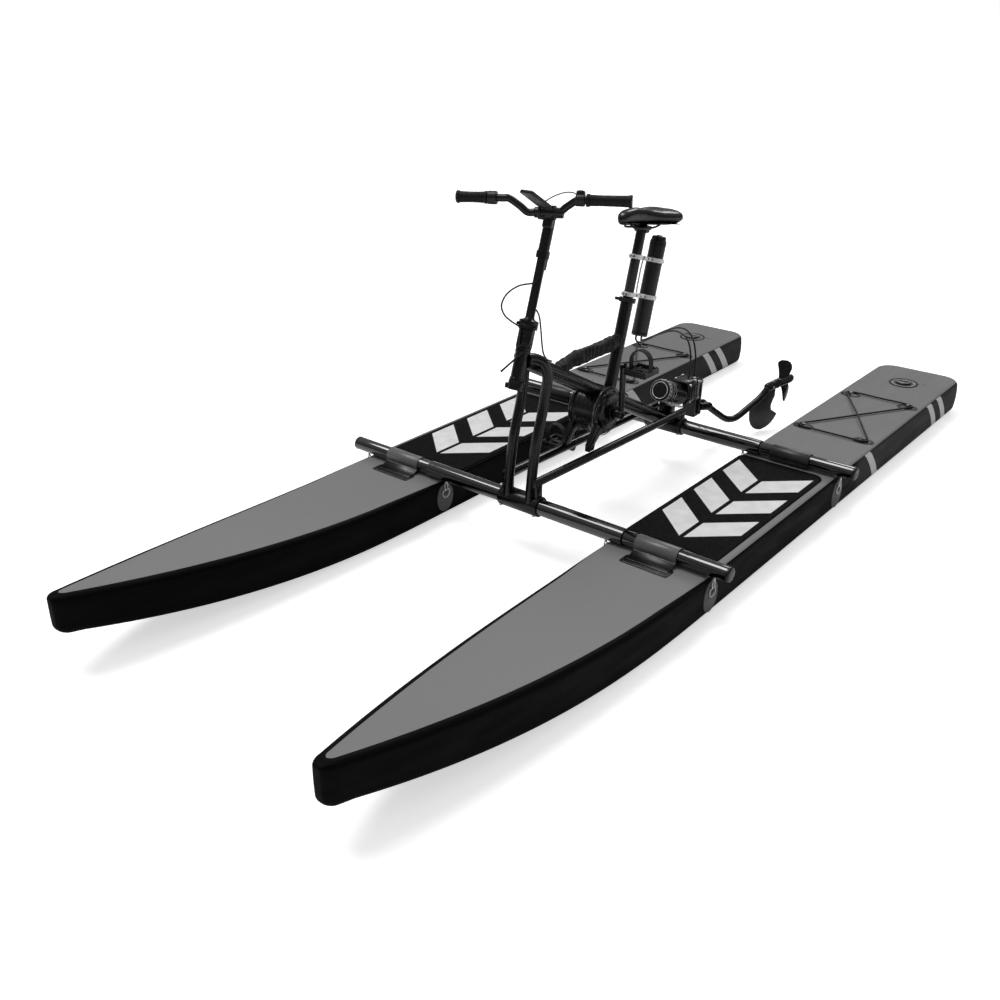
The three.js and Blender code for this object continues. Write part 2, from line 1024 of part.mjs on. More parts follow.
// the gear housing hangs round the beam on the crank axis, with legs down to the rails
function drumLeg(side) {
  const shape = new THREE.Shape();
  const reach = drum.radius;
  const footY = crank.y - reach * 1.27;
  const footZ = railZ(footY) + rail.radius + gap;
  shape.moveTo(crank.y - reach * 0.5, crank.z - reach * 0.72);
  shape.lineTo(crank.y - reach * 0.88, crank.z - reach * 0.3);
  shape.lineTo(footY - reach * 0.17, footZ + reach * 0.29);
  shape.lineTo(footY - reach * 0.17, footZ + reach * 0.01);
  shape.lineTo(footY + reach * 0.2, footZ);
  shape.lineTo(footY + reach * 0.27, footZ + reach * 0.27);
  shape.closePath();
  const from = side > 0 ? drum.nearX - drum.round : drum.farX + bite;
  return slab(shape, from, from + drum.legThick);
}

function buildDrum() {
  const far = -drum.farX;
  const length = far + drum.hubX;
  const bore = crank.spindleRadius + runningGap;
  const bodyEnd = far + drum.nearX;
  const capEnd = far + drum.capX;
  const profile = [
    [bore, -drum.hubFar],
    [drum.hubRadius, -drum.hubFar],
    [drum.hubRadius, 0],
    [drum.rimRadius, 0],
    [drum.rimRadius, drum.rimThick],
    [drum.radius, drum.rimThick + drum.bevel],
    [drum.radius, bodyEnd - drum.round],
    [drum.radius - drum.round, bodyEnd],
    [drum.capRadius, bodyEnd],
    [drum.capRadius - drum.bevel, capEnd],
    [drum.hubRadius, capEnd],
    [drum.hubRadius, length],
    [bore, length],
    [bore, -drum.hubFar],
  ];
  const from = point(drum.farX, crank.y, crank.z);
  const body = turned(profile, from, point(drum.hubX, crank.y, crank.z));
  return cut(join(body, drumLeg(1), drumLeg(-1)), beamCutter(), seatCutter());
}

// an arm hangs or stands from the crank axis; the one on the left carries the spindle
function buildCrank(side) {
  const pedalZ = crank.z + side * crank.length;
  const inner = side * crank.innerX;
  const outer = side * crank.outerX;
  const armInner = side * (crank.outerX - crank.armThick);
  const at = (x, z) => point(x, crank.y, z);
  const boss = rod(at(inner, crank.z), at(outer, crank.z), crank.bossRadius);
  const eye = rod(at(armInner, pedalZ), at(outer, pedalZ), crank.eyeRadius);
  const arm = block(
    point(Math.min(armInner, outer), crank.y - crank.armHalfWidth, Math.min(crank.z, pedalZ)),
    point(Math.max(armInner, outer), crank.y + crank.armHalfWidth, Math.max(crank.z, pedalZ)),
  );
  const pinEnd = outer + side * crank.pinLength;
  const pieces = [eye, arm, rod(at(armInner, pedalZ), at(pinEnd, pedalZ), crank.pinRadius, 12)];
  if (side > 0) {
    const farEnd = -crank.innerX + gap;
    pieces.push(rod(at(farEnd, crank.z), at(crank.innerX + overrun, crank.z), crank.spindleRadius));
  }
  return join(boss, ...pieces);
}

// a cage pedal on its pin, with a toe strap arched over it
function buildPedal(side) {
  const z = crank.z + side * crank.length;
  const low = side > 0 ? pedal.innerX : -pedal.innerX - pedal.length;
  const high = low + pedal.length;
  const reach = half(pedal.width);
  const outline = roundedRectangle(low, crank.y - reach, high, crank.y + reach, pedal.rim);
  outline.holes.push(roundedRectangle(
    low + pedal.rim,
    crank.y - reach + pedal.rim,
    high - pedal.rim,
    crank.y + reach - pedal.rim,
    half(pedal.rim),
  ));
  const cage = plate(outline, z - half(pedal.height), z + half(pedal.height), 2);
  const barrel = rod(point(low + gap, crank.y, z), point(high - gap, crank.y, z), pedal.barrelRadius, 12);
  const strapRadius = half(pedal.length) - pedal.rim * 0.4;
  const arch = new THREE.Shape();
  const rise = pedal.strapHeight - strapRadius;
  const inside = strapRadius - pedal.strapThick;
  arch.moveTo(strapRadius, 0);
  arch.lineTo(strapRadius, rise);
  arch.absarc(0, rise, strapRadius, 0, Math.PI);
  arch.lineTo(-strapRadius, 0);
  arch.lineTo(-inside, 0);
  arch.lineTo(-inside, rise);
  arch.absarc(0, rise, inside, Math.PI, 0, true);
  arch.lineTo(inside, 0);
  arch.closePath();
  const band = new THREE.ExtrudeGeometry(arch, {
    depth: pedal.strapWidth,
    bevelEnabled: false,
    curveSegments: 5,
  });
  band.rotateX(Math.PI / 2);
  band.translate(half(low + high), crank.y - pedal.strapWidth * 0.2, z);
  const bore = rod(
    point(side * crank.outerX - side * overrun, crank.y, z),
    point(side * (crank.outerX + crank.pinLength + bite), crank.y, z),
    crank.pinRadius + runningGap,
    16,
  );
  return cut(join(cage, barrel, band), bore);
}

// motor can with a toothed front ring, on a saddle over the rear sleeve
function buildMotor() {
  const tilt = radians(motor.tilt);
  const from = point(0, motor.y, motor.z);
  const to = point(
    0,
    motor.y + motor.length * Math.cos(tilt),
    motor.z - motor.length * Math.sin(tilt),
  );
  const profile = [
    [0, 0],
    [motor.ringRadius - motor.bevel, 0],
    [motor.ringRadius, motor.bevel],
    [motor.ringRadius, motor.ringThick],
    [motor.radius, motor.ringThick],
  ];
  const pitch = (motor.length - motor.ringThick) / (motor.ribs + 1);
  for (let i = 1; i <= motor.ribs; i += 1) {
    const at = motor.ringThick + i * pitch;
    profile.push([motor.radius, at - half(motor.ribThick)]);
    profile.push([motor.radius + motor.ribDepth, at - half(motor.ribThick)]);
    profile.push([motor.radius + motor.ribDepth, at + half(motor.ribThick)]);
    profile.push([motor.radius, at + half(motor.ribThick)]);
  }
  profile.push([motor.radius, motor.length - motor.round]);
  profile.push([motor.radius - motor.round, motor.length], [0, motor.length]);
  const can = turned(profile, from, to);
  const wide = motor.mountHalfWidth;
  const foot = block(
    point(-wide, bar.rearY - motor.mountHalfLength, bar.z + clamp.radius - motor.mountBite),
    point(wide, bar.rearY + motor.mountHalfLength, motor.z - motor.radius),
  );
  return cut(join(can, foot, buildGearbox()), beamCutter(), clampCutter(bar.rearY));
}

function buildGearbox() {
  const wide = gearbox.halfWidth;
  const outline = roundedRectangle(-wide, gearbox.bottom, wide, gearbox.top, gearbox.corner);
  const geometry = new THREE.ExtrudeGeometry(outline, {
    depth: gearbox.length,
    bevelEnabled: false,
    curveSegments: 3,
  });
  geometry.rotateX(Math.PI / 2);
  geometry.translate(0, gearbox.y + gearbox.length, 0);
  return geometry;
}

// a C-shaped bracket whose upright pin the drive leg swings on
function buildBracket() {
  const front = gearbox.y + gearbox.length + gap;
  const wide = swivel.plateHalfWidth;
  const back = block(
    point(-wide, front, swivel.bottom),
    point(wide, front + swivel.backThick, gearbox.top - swivel.backDrop),
  );
  const lugs = [swivel.bottom, swivel.top].map((z) => {
    const top = z + swivel.plateThick;
    const shelf = block(point(-wide, front + bite, z), point(wide, swivel.y, top));
    const nose = rod(point(0, swivel.y, z), point(0, swivel.y, top), wide);
    return join(shelf, nose);
  });
  const pin = rod(
    point(0, swivel.y, swivel.bottom - swivel.pinBelow),
    point(0, swivel.y, swivel.top + swivel.plateThick + swivel.pinAbove),
    swivel.pinRadius,
  );
  return join(back, ...lugs, pin);
}

// the swinging head, made in the drive's own turned frame, where +Y runs along the leg
function buildSwivelHead() {
  const low = swivel.bottom + swivel.plateThick + runningGap;
  const high = swivel.top - runningGap;
  const bore = swivel.pinRadius + runningGap;
  const body = pipe(point(0, 0, low), point(0, 0, high), swivel.headRadius, bore);
  const neckHalf = half(swivel.earGap) + swivel.earThick;
  const neckLow = swivel.tiltZ - swivel.earRadius + swivel.neckRise;
  const neckHigh = swivel.tiltZ + swivel.earRadius;
  const neck = block(
    point(-neckHalf, swivel.headRadius - swivel.neckBite, neckLow),
    point(neckHalf, swivel.headRadius + swivel.neckReach, neckHigh),
  );
  const tiltAt = (x) => point(x, swivel.tiltReach, swivel.tiltZ);
  const ears = [-1, 1].map((side) => {
    const inner = side * half(swivel.earGap);
    const outer = side * neckHalf;
    const arm = block(
      point(Math.min(inner, outer), swivel.headRadius + bite, neckLow),
      point(Math.max(inner, outer), swivel.tiltReach, neckHigh),
    );
    return join(rod(tiltAt(inner), tiltAt(outer), swivel.earRadius), arm);
  });
  const pinReach = neckHalf + swivel.pinPast;
  const pin = rod(tiltAt(-pinReach), tiltAt(pinReach), swivel.tiltPinRadius);
  return join(body, neck, ...ears, pin);
}

const shaftSine = Math.sin(radians(screw.slope));
const shaftCosine = Math.cos(radians(screw.slope));
const alongShaft = (distance) => point(
  0,
  screw.reach + distance * shaftCosine,
  screw.z + distance * shaftSine,
);
const housingRear = -half(screw.hubLength) - gap;
const housingFront = housingRear - leg.housingLength;

// the leg dips, rises and carries the screw's housing
function legRoute() {
  const joint = point(0, swivel.tiltReach, swivel.tiltZ);
  const end = alongShaft(housingFront + leg.housingBite);
  const reach = end.y - joint.y;
  const dip = swivel.tiltZ * 0.53;
  const bend = (reachShare, dipShare) => joint.clone().add(point(0, reach * reachShare, -dip * dipShare));
  return smooth([
    joint.clone().add(point(0, leg.eyeRadius * 0.73, -leg.radius * 0.53)),
    bend(0.2, 0.55),
    bend(0.37, 0.94),
    bend(0.5, 0.96),
    bend(0.68, 0.62),
    bend(0.88, 0.16),
    end,
  ]);
}
const legSteps = 14;
const legSides = 12;

function buildLeg() {
  const tube = bent(legRoute(), leg.radius, legSteps, legSides);
  const eyeReach = half(swivel.earGap) - runningGap;
  const tiltAt = (x) => point(x, swivel.tiltReach, swivel.tiltZ);
  const eye = rod(tiltAt(-eyeReach), tiltAt(eyeReach), leg.eyeRadius);
  const housing = turned([
    [0, 0],
    [leg.radius + leg.shoulderProud, 0],
    [leg.housingRadius, leg.shoulder],
    [leg.housingRadius, leg.housingLength],
    [0, leg.housingLength],
  ], alongShaft(housingFront), alongShaft(housingRear));
  const bore = rod(
    tiltAt(-eyeReach - overrun),
    tiltAt(eyeReach + overrun),
    swivel.tiltPinRadius + runningGap,
  );
  return cut(join(tube, eye, housing), bore);
}

// a swept blade as a closed loft from root to tip, standing along +Z with the shaft along +Y
function bladeGeometry() {
  const shares = [0, 0.2, 0.4, 0.6, 0.8, 0.93, 1];
  const widthShares = [0.8, 0.95, 1, 0.98, 0.86, 0.64, 0.34];
  const sweepShares = [0, 0.3, 0.5, 0.5, 0.3, 0.05, -0.1];
  const rootRadius = screw.hubRadius * 0.7;
  const rings = shares.map((share, row) => {
    const height = rootRadius + (screw.radius - rootRadius) * share;
    const wide = screw.bladeHalfWidth * widthShares[row];
    const thick = half(screw.bladeThick) * (1 - 0.6 * share);
    const pitch = radians(screw.bladePitch) * (1.5 - share * 0.8);
    const sweep = screw.bladeHalfWidth * sweepShares[row];
    const ring = [];
    for (let i = 0; i < 8; i += 1) {
      const angle = (i / 8) * Math.PI * 2;
      const across = wide * Math.cos(angle) + sweep;
      const deep = thick * Math.sin(angle);
      ring.push(point(
        across * Math.cos(pitch) - deep * Math.sin(pitch),
        across * Math.sin(pitch) + deep * Math.cos(pitch),
        height,
      ));
    }
    return ring;
  });
  return loft(rings);
}

function buildScrew() {
  const length = screw.hubLength;
  const hub = new THREE.LatheGeometry([
    [0, 0],
    [screw.hubRadius, 0],
    [screw.hubRadius, length],
    [screw.hubRadius * 0.8, length + screw.noseLength * 0.5],
    [screw.hubRadius * 0.35, length + screw.noseLength],
    [0, length + screw.noseLength],
  ].map(([radius, along]) => new THREE.Vector2(radius, along)), roundSides);
  hub.translate(0, -half(length), 0);
  const upper = bladeGeometry();
  const lower = bladeGeometry().rotateY(Math.PI);
  const whole = join(hub, upper, lower);
  whole.rotateX(radians(screw.slope));
  return whole.translate(0, screw.reach, screw.z);
}

// the flat fin under the housing, round below and stepped clear of the screw behind
function buildFin() {
  const rear = alongShaft(housingRear - fin.rearInset);
  const front = alongShaft(housingFront);
  const bowY = fin.frontReach - fin.bow;
  const heelY = fin.frontReach + fin.heel;
  const lowZ = fin.footZ + fin.lift;
  const shape = new THREE.Shape();
  shape.moveTo(rear.y, rear.z);
  const knee = legRoute().points[5];
  shape.lineTo(front.y, front.z);
  shape.lineTo(knee.y, knee.z);
  shape.lineTo(fin.rootReach, fin.rootZ);
  shape.quadraticCurveTo(bowY, half(fin.rootZ + fin.bellyZ), fin.frontReach, fin.bellyZ);
  shape.quadraticCurveTo(heelY, lowZ, fin.footReach, fin.footZ);
  shape.quadraticCurveTo(fin.rearReach - fin.toe, lowZ, fin.rearReach, fin.rearZ);
  shape.lineTo(fin.notchReach, fin.notchZ);
  const stepY = fin.notchReach - fin.sweep;
  shape.quadraticCurveTo(stepY, fin.notchZ + fin.step, rear.y, fin.notchZ + fin.rise);
  shape.closePath();
  const blade = slab(shape, -half(fin.thick), half(fin.thick), 7);
  const housing = rod(
    alongShaft(housingFront - overrun * 2),
    alongShaft(housingRear + overrun),
    leg.housingRadius + gap,
    cutterSides,
  );
  return cut(blade, housing, bent(legRoute(), leg.radius + gap, legSteps, legSides));
}

const hingePinHalf = steer.hingeHalf * 0.7;

// steerer with its lower crown, cable arm and the fixed half of the fold hinge, made along the steering axis
function buildSteerer() {
  const top = steer.hingeHeight - half(gap);
  const shaftRadius = steer.headBore * Math.cos(Math.PI / roundSides) - runningGap;
  const crown = steer.crownDepth - runningGap;
  const capFoot = steer.crownDepth + steer.headLength + runningGap;
  const capRadius = steer.headRadius + steer.capProud;
  const capTop = steer.crownDepth + steer.headLength + steer.capHeight;
  const shaft = turned([
    [0, 0],
    [steer.crownRadius - steer.bevel, 0],
    [steer.crownRadius, steer.bevel],
    [steer.crownRadius, crown],
    [shaftRadius, crown],
    [shaftRadius, capFoot],
    [capRadius, capFoot],
    [capRadius, capTop],
    [0, capTop],
  ], point(0, 0, -steer.crownDepth), point(0, 0, steer.headLength));
  const neck = block(
    point(-steer.hingeHalf, -steer.hingeHalf, steer.headLength + half(steer.capHeight)),
    point(steer.hingeHalf, steer.hingeHalf, top - steer.flangeThick + bite),
  );
  const flange = rod(point(0, 0, top - steer.flangeThick), point(0, 0, top), steer.flangeRadius);
  const hingeAt = (y) => point(-steer.flangeRadius, y, steer.hingeHeight);
  const knuckle = rod(hingeAt(-hingePinHalf), hingeAt(hingePinHalf), steer.pinRadius);
  const armZ = -steer.crownDepth + steer.armRise;
  const arm = block(
    point(-steer.armLength, -half(steer.armWidth), armZ),
    point(0, half(steer.armWidth), armZ + steer.armThick),
  );
  const armEnd = rod(
    point(-steer.armLength, 0, armZ - steer.armBoss),
    point(-steer.armLength, 0, armZ + steer.armThick + steer.armBoss),
    half(steer.armWidth),
  );
  return join(shaft, neck, flange, knuckle, arm, armEnd);
}

// the mast's lower tube, with the folding half of the hinge at its foot
function buildMast() {
  const foot = steer.hingeHeight + half(gap);
  const length = mast.top - foot;
  const body = turned([
    [0, 0],
    [steer.flangeRadius, 0],
    [steer.flangeRadius, steer.flangeThick],
    [mast.radius, steer.flangeThick + mast.shoulder],
    [mast.radius, length],
    [0, length],
  ], point(0, 0, foot), point(0, 0, mast.top));
  const reliefHalf = hingePinHalf + overrun;
  const relief = rod(
    point(-steer.flangeRadius, -reliefHalf, steer.hingeHeight),
    point(-steer.flangeRadius, reliefHalf, steer.hingeHeight),
    steer.pinRadius + runningGap,
  );
  return cut(body, relief);
}

function buildMastLever() {
  const x = half(mast.earWidth) + gap;
  const y = mast.collarRadius + half(mast.earReach);
  const z = mast.stemFoot + half(mast.collarHeight);
  const pivot = rod(point(x, y, z), point(x + mast.leverThick, y, z), mast.leverEye, 12);
  const grip = block(
    point(x, y - mast.leverHalf, z - mast.leverLength),
    point(x + mast.leverThick, y + mast.leverHalf, z),
  );
  return join(pivot, grip);
}

// the handlebar is turned a little about the middle of its clamp, so that it stands level
const barPlace = new THREE.Matrix4()
  .makeTranslation(0, -handle.forward, handle.height)
  .multiply(new THREE.Matrix4().makeRotationY(-radians(handle.roll)));
const onBar = (geometry) => geometry.applyMatrix4(barPlace);
const acrossBar = (from, to, radius, sides = roundSides) => (
  onBar(rod(point(from, 0, 0), point(to, 0, 0), radius, sides))
);

// the mast's upper tube: an eared collar at its foot, the handlebar's clamp on its head
function buildStem() {
  const collarTop = mast.stemFoot + mast.collarHeight;
  const tube = rod(point(0, 0, mast.stemFoot), point(0, 0, mast.stemTop), mast.stemRadius);
  const collar = rod(point(0, 0, mast.stemFoot), point(0, 0, collarTop), mast.collarRadius);
  const ear = block(
    point(-half(mast.earWidth), mast.radius + runningGap + bite, mast.stemFoot + mast.earInset),
    point(half(mast.earWidth), mast.collarRadius + mast.earReach, collarTop - mast.earInset),
  );
  const wide = handle.clampHalfLength;
  const barrel = acrossBar(-wide, wide, handle.clampRadius);
  const neck = block(
    point(-wide * 0.72, -handle.forward, mast.stemTop - handle.neckDrop),
    point(wide * 0.72, mast.stemRadius - bite, handle.height + handle.neckRise),
  );
  const barBore = acrossBar(-wide - overrun, wide + overrun, handle.coreRadius + gap);
  const mastBore = rod(
    point(0, 0, mast.stemFoot - overrun),
    point(0, 0, mast.boreTop),
    mast.radius + runningGap,
  );
  return cut(join(tube, collar, ear, neck, barrel), barBore, mastBore);
}

// the bar's pieces are made about the middle of its clamp
const gripAt = (x) => point(x + handle.shift, -handle.sweep, handle.rise);
const barSteps = 30;
const barSides = 10;
function barRoute() {
  const ramp = handle.bendEnd - handle.bendStart;
  const side = (sign) => [
    gripAt(sign * handle.halfLength),
    gripAt(sign * (handle.halfLength - half(ramp))),
    gripAt(sign * (handle.bendEnd + ramp * 0.4)),
    gripAt(sign * (handle.bendEnd + ramp * 0.12)),
    point(
      sign * (handle.bendStart + half(ramp)) + handle.shift,
      -half(handle.sweep),
      half(handle.rise),
    ),
    point(sign * handle.bendStart + handle.shift, 0, 0),
    point(sign * half(handle.bendStart) + handle.shift, 0, 0),
  ];
  return smooth([...side(-1), ...side(1).reverse()]);
}

function buildHandlebar() {
  const core = rod(
    point(-handle.coreHalfLength, 0, 0),
    point(handle.coreHalfLength, 0, 0),
    handle.coreRadius,
  );
  return onBar(join(bent(barRoute(), handle.radius, barSteps, barSides), core));
}
const barCutter = () => bent(barRoute(), handle.radius + gap, barSteps, barSides);

// a grip is bored to take the bar's end and has a collar at each end
function buildGrip(side, length) {
  const inner = handle.radius + gap;
  const collar = handle.collarLength;
  const bevel = handle.gripBevel;
  const end = length + handle.gripPast;
  const profile = [
    [inner, 0],
    [handle.collarRadius, 0],
    [handle.collarRadius, collar],
    [handle.gripRadius, collar + bevel],
    [handle.gripRadius - handle.gripWaist, half(length)],
    [handle.gripRadius, end - collar - bevel],
    [handle.collarRadius, end - collar],
    [handle.collarRadius, end - bevel],
    [handle.collarRadius - bevel, end],
    [0, end],
    [0, length + gap],
    [inner, length + gap],
    [inner, 0],
  ];
  const start = gripAt(side * (handle.halfLength - length));
  return onBar(turned(profile, start, gripAt(side * handle.halfLength)));
}

// thumb throttle: a ring on the bar with a paddle towards the rider
function buildThrottle() {
  const x = -throttle.bodyX;
  const wide = half(throttle.length);
  const bore = handle.radius + runningGap;
  const ring = pipe(gripAt(x - wide), gripAt(x + wide), throttle.radius, bore);
  const low = gripAt(x - half(throttle.paddleWidth));
  const high = gripAt(x + half(throttle.paddleWidth));
  low.y += throttle.radius - throttle.paddleBite;
  low.z -= throttle.radius * 0.6;
  high.y += throttle.paddleLength;
  high.z += throttle.paddleThick - throttle.radius * 0.6;
  return onBar(join(ring, block(low, high)));
}

// the switch box: a ring on the bar with a box on top
function buildSwitchBox() {
  const wide = half(switchBox.length);
  const ring = rod(gripAt(switchBox.x - wide), gripAt(switchBox.x + wide), switchBox.radius);
  const low = gripAt(switchBox.x - wide + bite);
  const high = gripAt(switchBox.x + wide - bite);
  low.y -= half(switchBox.boxDepth);
  low.z += switchBox.boxBite;
  high.y += half(switchBox.boxDepth);
  high.z += switchBox.radius + switchBox.boxRise;
  return onBar(cut(join(ring, block(low, high)), barCutter()));
}

// the display stands over the stem on a ring round the bar's thick middle
function buildDisplay() {
  const box = block(
    point(-half(display.width), -half(display.length), -half(display.thick)),
    point(half(display.width), half(display.length), half(display.thick)),
  );
  box.rotateX(-radians(display.tilt));
  box.rotateZ(-radians(display.turn));
  box.translate(display.x, -display.forward, handle.height + display.rise);
  const from = display.ringX - display.ringHalfLength;
  const to = display.ringX + display.ringHalfLength;
  const ring = acrossBar(from, to, display.ringRadius);
  const stalk = onBar(block(
    point(from, -display.stalkFront, handle.coreRadius + bite),
    point(to, display.stalkRear, handle.coreRadius + display.stalkThick),
  ));
  const bore = acrossBar(from - overrun * 2, to + overrun, handle.coreRadius + gap);
  return cut(join(box, ring, stalk), bore);
}

// the hinge's long thin lever, hanging down across the front of the head tube
function buildFoldLever() {
  const back = -steer.hingeHalf - gap;
  const y = back - foldLever.away;
  const pivot = rod(
    point(foldLever.x, back, foldLever.height),
    point(foldLever.x, back - foldLever.pivotThick, foldLever.height),
    foldLever.pivotRadius,
    12,
  );
  const start = point(foldLever.x, y, foldLever.height);
  const way = point(-foldLever.reach, -foldLever.lean, -foldLever.drop);
  const tip = start.clone().add(way);
  const arm = rod(start, tip, foldLever.radius, 10);
  const knobEnd = tip.clone().add(way.setLength(foldLever.knob));
  return join(pivot, arm, rod(tip, knobEnd, foldLever.radius + bite, 10));
}

function buildSeatLever() {
  const z = seat.tubeTop + half(seat.collarHeight);
  const x = -seat.earHalf - gap - seat.leverEye;
  const y = -seat.collarRadius - seat.leverBack;
  const front = -seat.collarRadius - seat.earReach - gap;
  const pivot = rod(
    point(x, y, z - seat.leverHalf),
    point(x, y, z + seat.leverHalf),
    seat.leverEye,
    12,
  );
  const grip = block(
    point(x - seat.leverEye, front - seat.leverThick, z - seat.leverHalf),
    point(x - seat.leverEye + seat.leverLength, front, z + seat.leverHalf),
  );
  return join(pivot, grip);
}

// seat post with the clamp head and the two rails that the saddle sits on
const saddleFoot = saddle.top - saddle.depth;
const saddleFront = saddle.behind - half(saddle.length);
// turns a piece on the post's head towards the level
const levelled = (geometry) => geometry
  .translate(0, 0, -saddleFoot)
  .rotateX(radians(saddle.level))
  .translate(0, 0, saddleFoot);
function buildSeatPost() {
  const high = saddleFoot - gap - saddle.railRadius;
  const low = high - saddle.railSink;
  const reach = half(saddle.railLength);
  const rails = [-1, 1].map((side) => {
    const route = [
      point(side * saddle.railX * 0.4, -reach * 1.2, high),
      point(side * saddle.railX, -reach, low),
      point(side * saddle.railX, reach * 0.5, low),
      point(side * saddle.railX, reach, high),
    ];
    return bent(smooth(route), saddle.railRadius, 9, 6);
  });
  const wide = half(saddle.clampWidth) + saddle.railRadius * 2;
  const bridge = block(
    point(-wide, -half(saddle.clampLength), low - saddle.bridgeDrop),
    point(wide, half(saddle.clampLength), low + saddle.bridgeRise),
  );
  const tube = rod(point(0, 0, seat.postFoot), point(0, 0, low), seat.postRadius);
  return join(tube, levelled(join(bridge, ...rails)));
}

// saddle: narrow nose, wide tail, crowned top and drawn-in sides
function buildSaddle() {
  const shares = [0, 0.03, 0.1, 0.25, 0.4, 0.52, 0.64, 0.76, 0.87, 0.95, 1];
  const widthShares = [0.55, 0.85, 1, 1.1, 1.35, 1.9, 2.9, 3.7, 4, 3.5, 2.2];
  const liftShares = [-0.3, -0.12, 0, 0.02, -0.06, -0.1, -0.06, 0.02, 0.08, 0.02, -0.25];
  const count = 16;
  const rings = shares.map((share, row) => {
    const y = saddleFront + share * saddle.length;
    const wide = saddle.noseHalfWidth * widthShares[row];
    const top = saddle.top + saddle.depth * liftShares[row] * 0.3;
    const middle = half(top + saddleFoot - saddle.shave);
    const deep = top - middle;
    const ring = [];
    for (let i = 0; i < count; i += 1) {
      const angle = (i / count) * Math.PI * 2;
      const lower = Math.sin(angle) < 0;
      const drawn = lower ? 1 - 0.28 * Math.abs(Math.sin(angle)) : 1;
      const side = Math.sign(Math.cos(angle)) * Math.abs(Math.cos(angle)) ** 0.62;
      const rise = Math.sign(Math.sin(angle)) * Math.abs(Math.sin(angle)) ** 0.8;
      const crown = lower ? 0 : saddle.crown * 0.2 * (1 - Math.abs(side));
      ring.push(point(wide * side * drawn, y, middle + deep * rise - crown));
    }
    return ring;
  });
  const body = loft(rings);
  const reach = saddle.length;
  const under = block(
    point(-reach, saddleFront - reach, saddleFoot - reach),
    point(reach, saddleFront + reach * 2, saddleFoot),
  );
  return levelled(cut(body, under));
}

function buildBattery() {
  const y = battery.offset;
  const length = battery.top - battery.foot;
  const capTop = length + battery.capHeight;
  return turned([
    [0, 0],
    [battery.radius - battery.bevel, 0],
    [battery.radius, battery.bevel],
    [battery.radius, length],
    [battery.capRadius, length + battery.capStep],
    [battery.capRadius, capTop - battery.capBevel],
    [battery.capRadius - battery.bevel, capTop],
    [0, capTop],
  ], point(0, y, battery.foot), point(0, y, battery.top));
}

// a double clamp: one ring round the seat post, one round the battery, and the arm between them
function buildBatteryClamp(height) {
  const low = height - half(battery.clampHeight);
  const high = height + half(battery.clampHeight);
  const y = battery.offset;
  const onPost = (z) => point(0, 0, z);
  const onBattery = (z) => point(0, y, z);
  const front = rod(onPost(low), onPost(high), seat.postRadius + battery.postRing);
  const rear = rod(onBattery(low), onBattery(high), battery.clampRadius);
  const wide = half(battery.armWidth);
  const arm = block(point(-wide, 0, low + bite), point(wide, y, high - bite));
  const ear = block(
    point(-battery.earHalf, -seat.postRadius - battery.earReach, low + battery.earInset),
    point(battery.earHalf, -seat.postRadius + battery.earBite, high - battery.earInset),
  );
  const postBore = rod(onPost(low - overrun), onPost(high + overrun), seat.postRadius + gap);
  const batteryBore = rod(onBattery(low - overrun), onBattery(high + overrun), battery.radius + gap);
  return cut(join(front, arm, rear, ear), postBore, batteryBore);
}

// a point given across, behind and along the seat post's line
const besideSeat = (x, behind, along) => point(
  x,
  seat.y + behind * seatCosine + along * seatSine,
  seat.z - behind * seatSine + along * seatCosine,
);

// leads from the battery's foot back over the motor and down to the swivel bracket
function buildLead(side, lift) {
  const bracketY = gearbox.y + gearbox.length + gap + half(swivel.backThick);
  const bracketZ = gearbox.top - swivel.backDrop + gap;
  const x = side * 11;
  const route = smooth([
    besideSeat(x, battery.offset, battery.foot - gap),
    besideSeat(x, battery.offset, battery.foot - 12),
    point(x, 246, 542 + lift),
    point(x, 300, 541 + lift),
    point(x, 390, 541 + lift),
    point(x, 476, 532 + lift),
    point(x, 550, 504 + lift),
    point(x, 606, 456 + half(lift)),
    point(x, 634, 392),
    point(x, bracketY + 1, 356),
    point(x, bracketY, bracketZ),
  ]);
  return bent(route, cable.leadRadius, 22, 8);
}

function buildFrontLoop() {
  const out = mast.radius + cable.radius + gap;
  const route = smooth([
    point(-1, -out, 300),
    point(-8, -out - 8, 294),
    point(-42, -out - 34, 278),
    point(-68, -out - 58, 246),
    point(-74, -out - 66, 212),
    point(-62, -out - 60, 188),
    point(-40, -out - 42, 172),
    point(-18, -steer.flangeRadius - 7, 160),
    point(-15, -steer.flangeRadius - 3, 150),
    point(-13, -steer.flangeRadius + 1, 128),
    point(-8, -steer.headRadius - 2 - cable.radius - gap, 101),
  ]);
  return bent(route, cable.radius, 22, 8);
}

// from the back of the mast down to the top of the beam
function buildRearRun() {
  const onMast = (x, away, along) => {
    steered.updateMatrixWorld();
    return steered.localToWorld(point(x, away, along));
  };
  const slope = Math.atan2(beam.frontZ - beam.rearZ, beam.rearY - beam.frontY);
  const onBeam = (x, y) => point(x, y, beamZ(y) + (beam.radius + gap * 2 + cable.radius) / Math.cos(slope));
  const against = mast.radius + gap + cable.radius;
  const route = smooth([
    onMast(0, against, 246),
    onMast(0, against + 1, 230),
    point(0, -366, 774),
    point(2, -356, 724),
    point(2, -349, 678),
    point(2, -340, 644),
    onBeam(2, -322),
    onBeam(2, -296),
  ]);
  return bent(route, cable.radius, 22, 8);
}

// hulls and what lies on them
const sides = [['left', 1], ['right', -1]];
sides.forEach(([name, side]) => {
  keep(`hull_${name}`, buildHull(side), finishes.pvc);
  keep(`deck_pad_${name}`, buildPad(side), finishes.padFoam);
  keep(`valve_cap_${name}`, buildValveCap(side), finishes.blackPlastic);
  keep(`bungee_${name}`, buildBungee(side), finishes.cord);
});

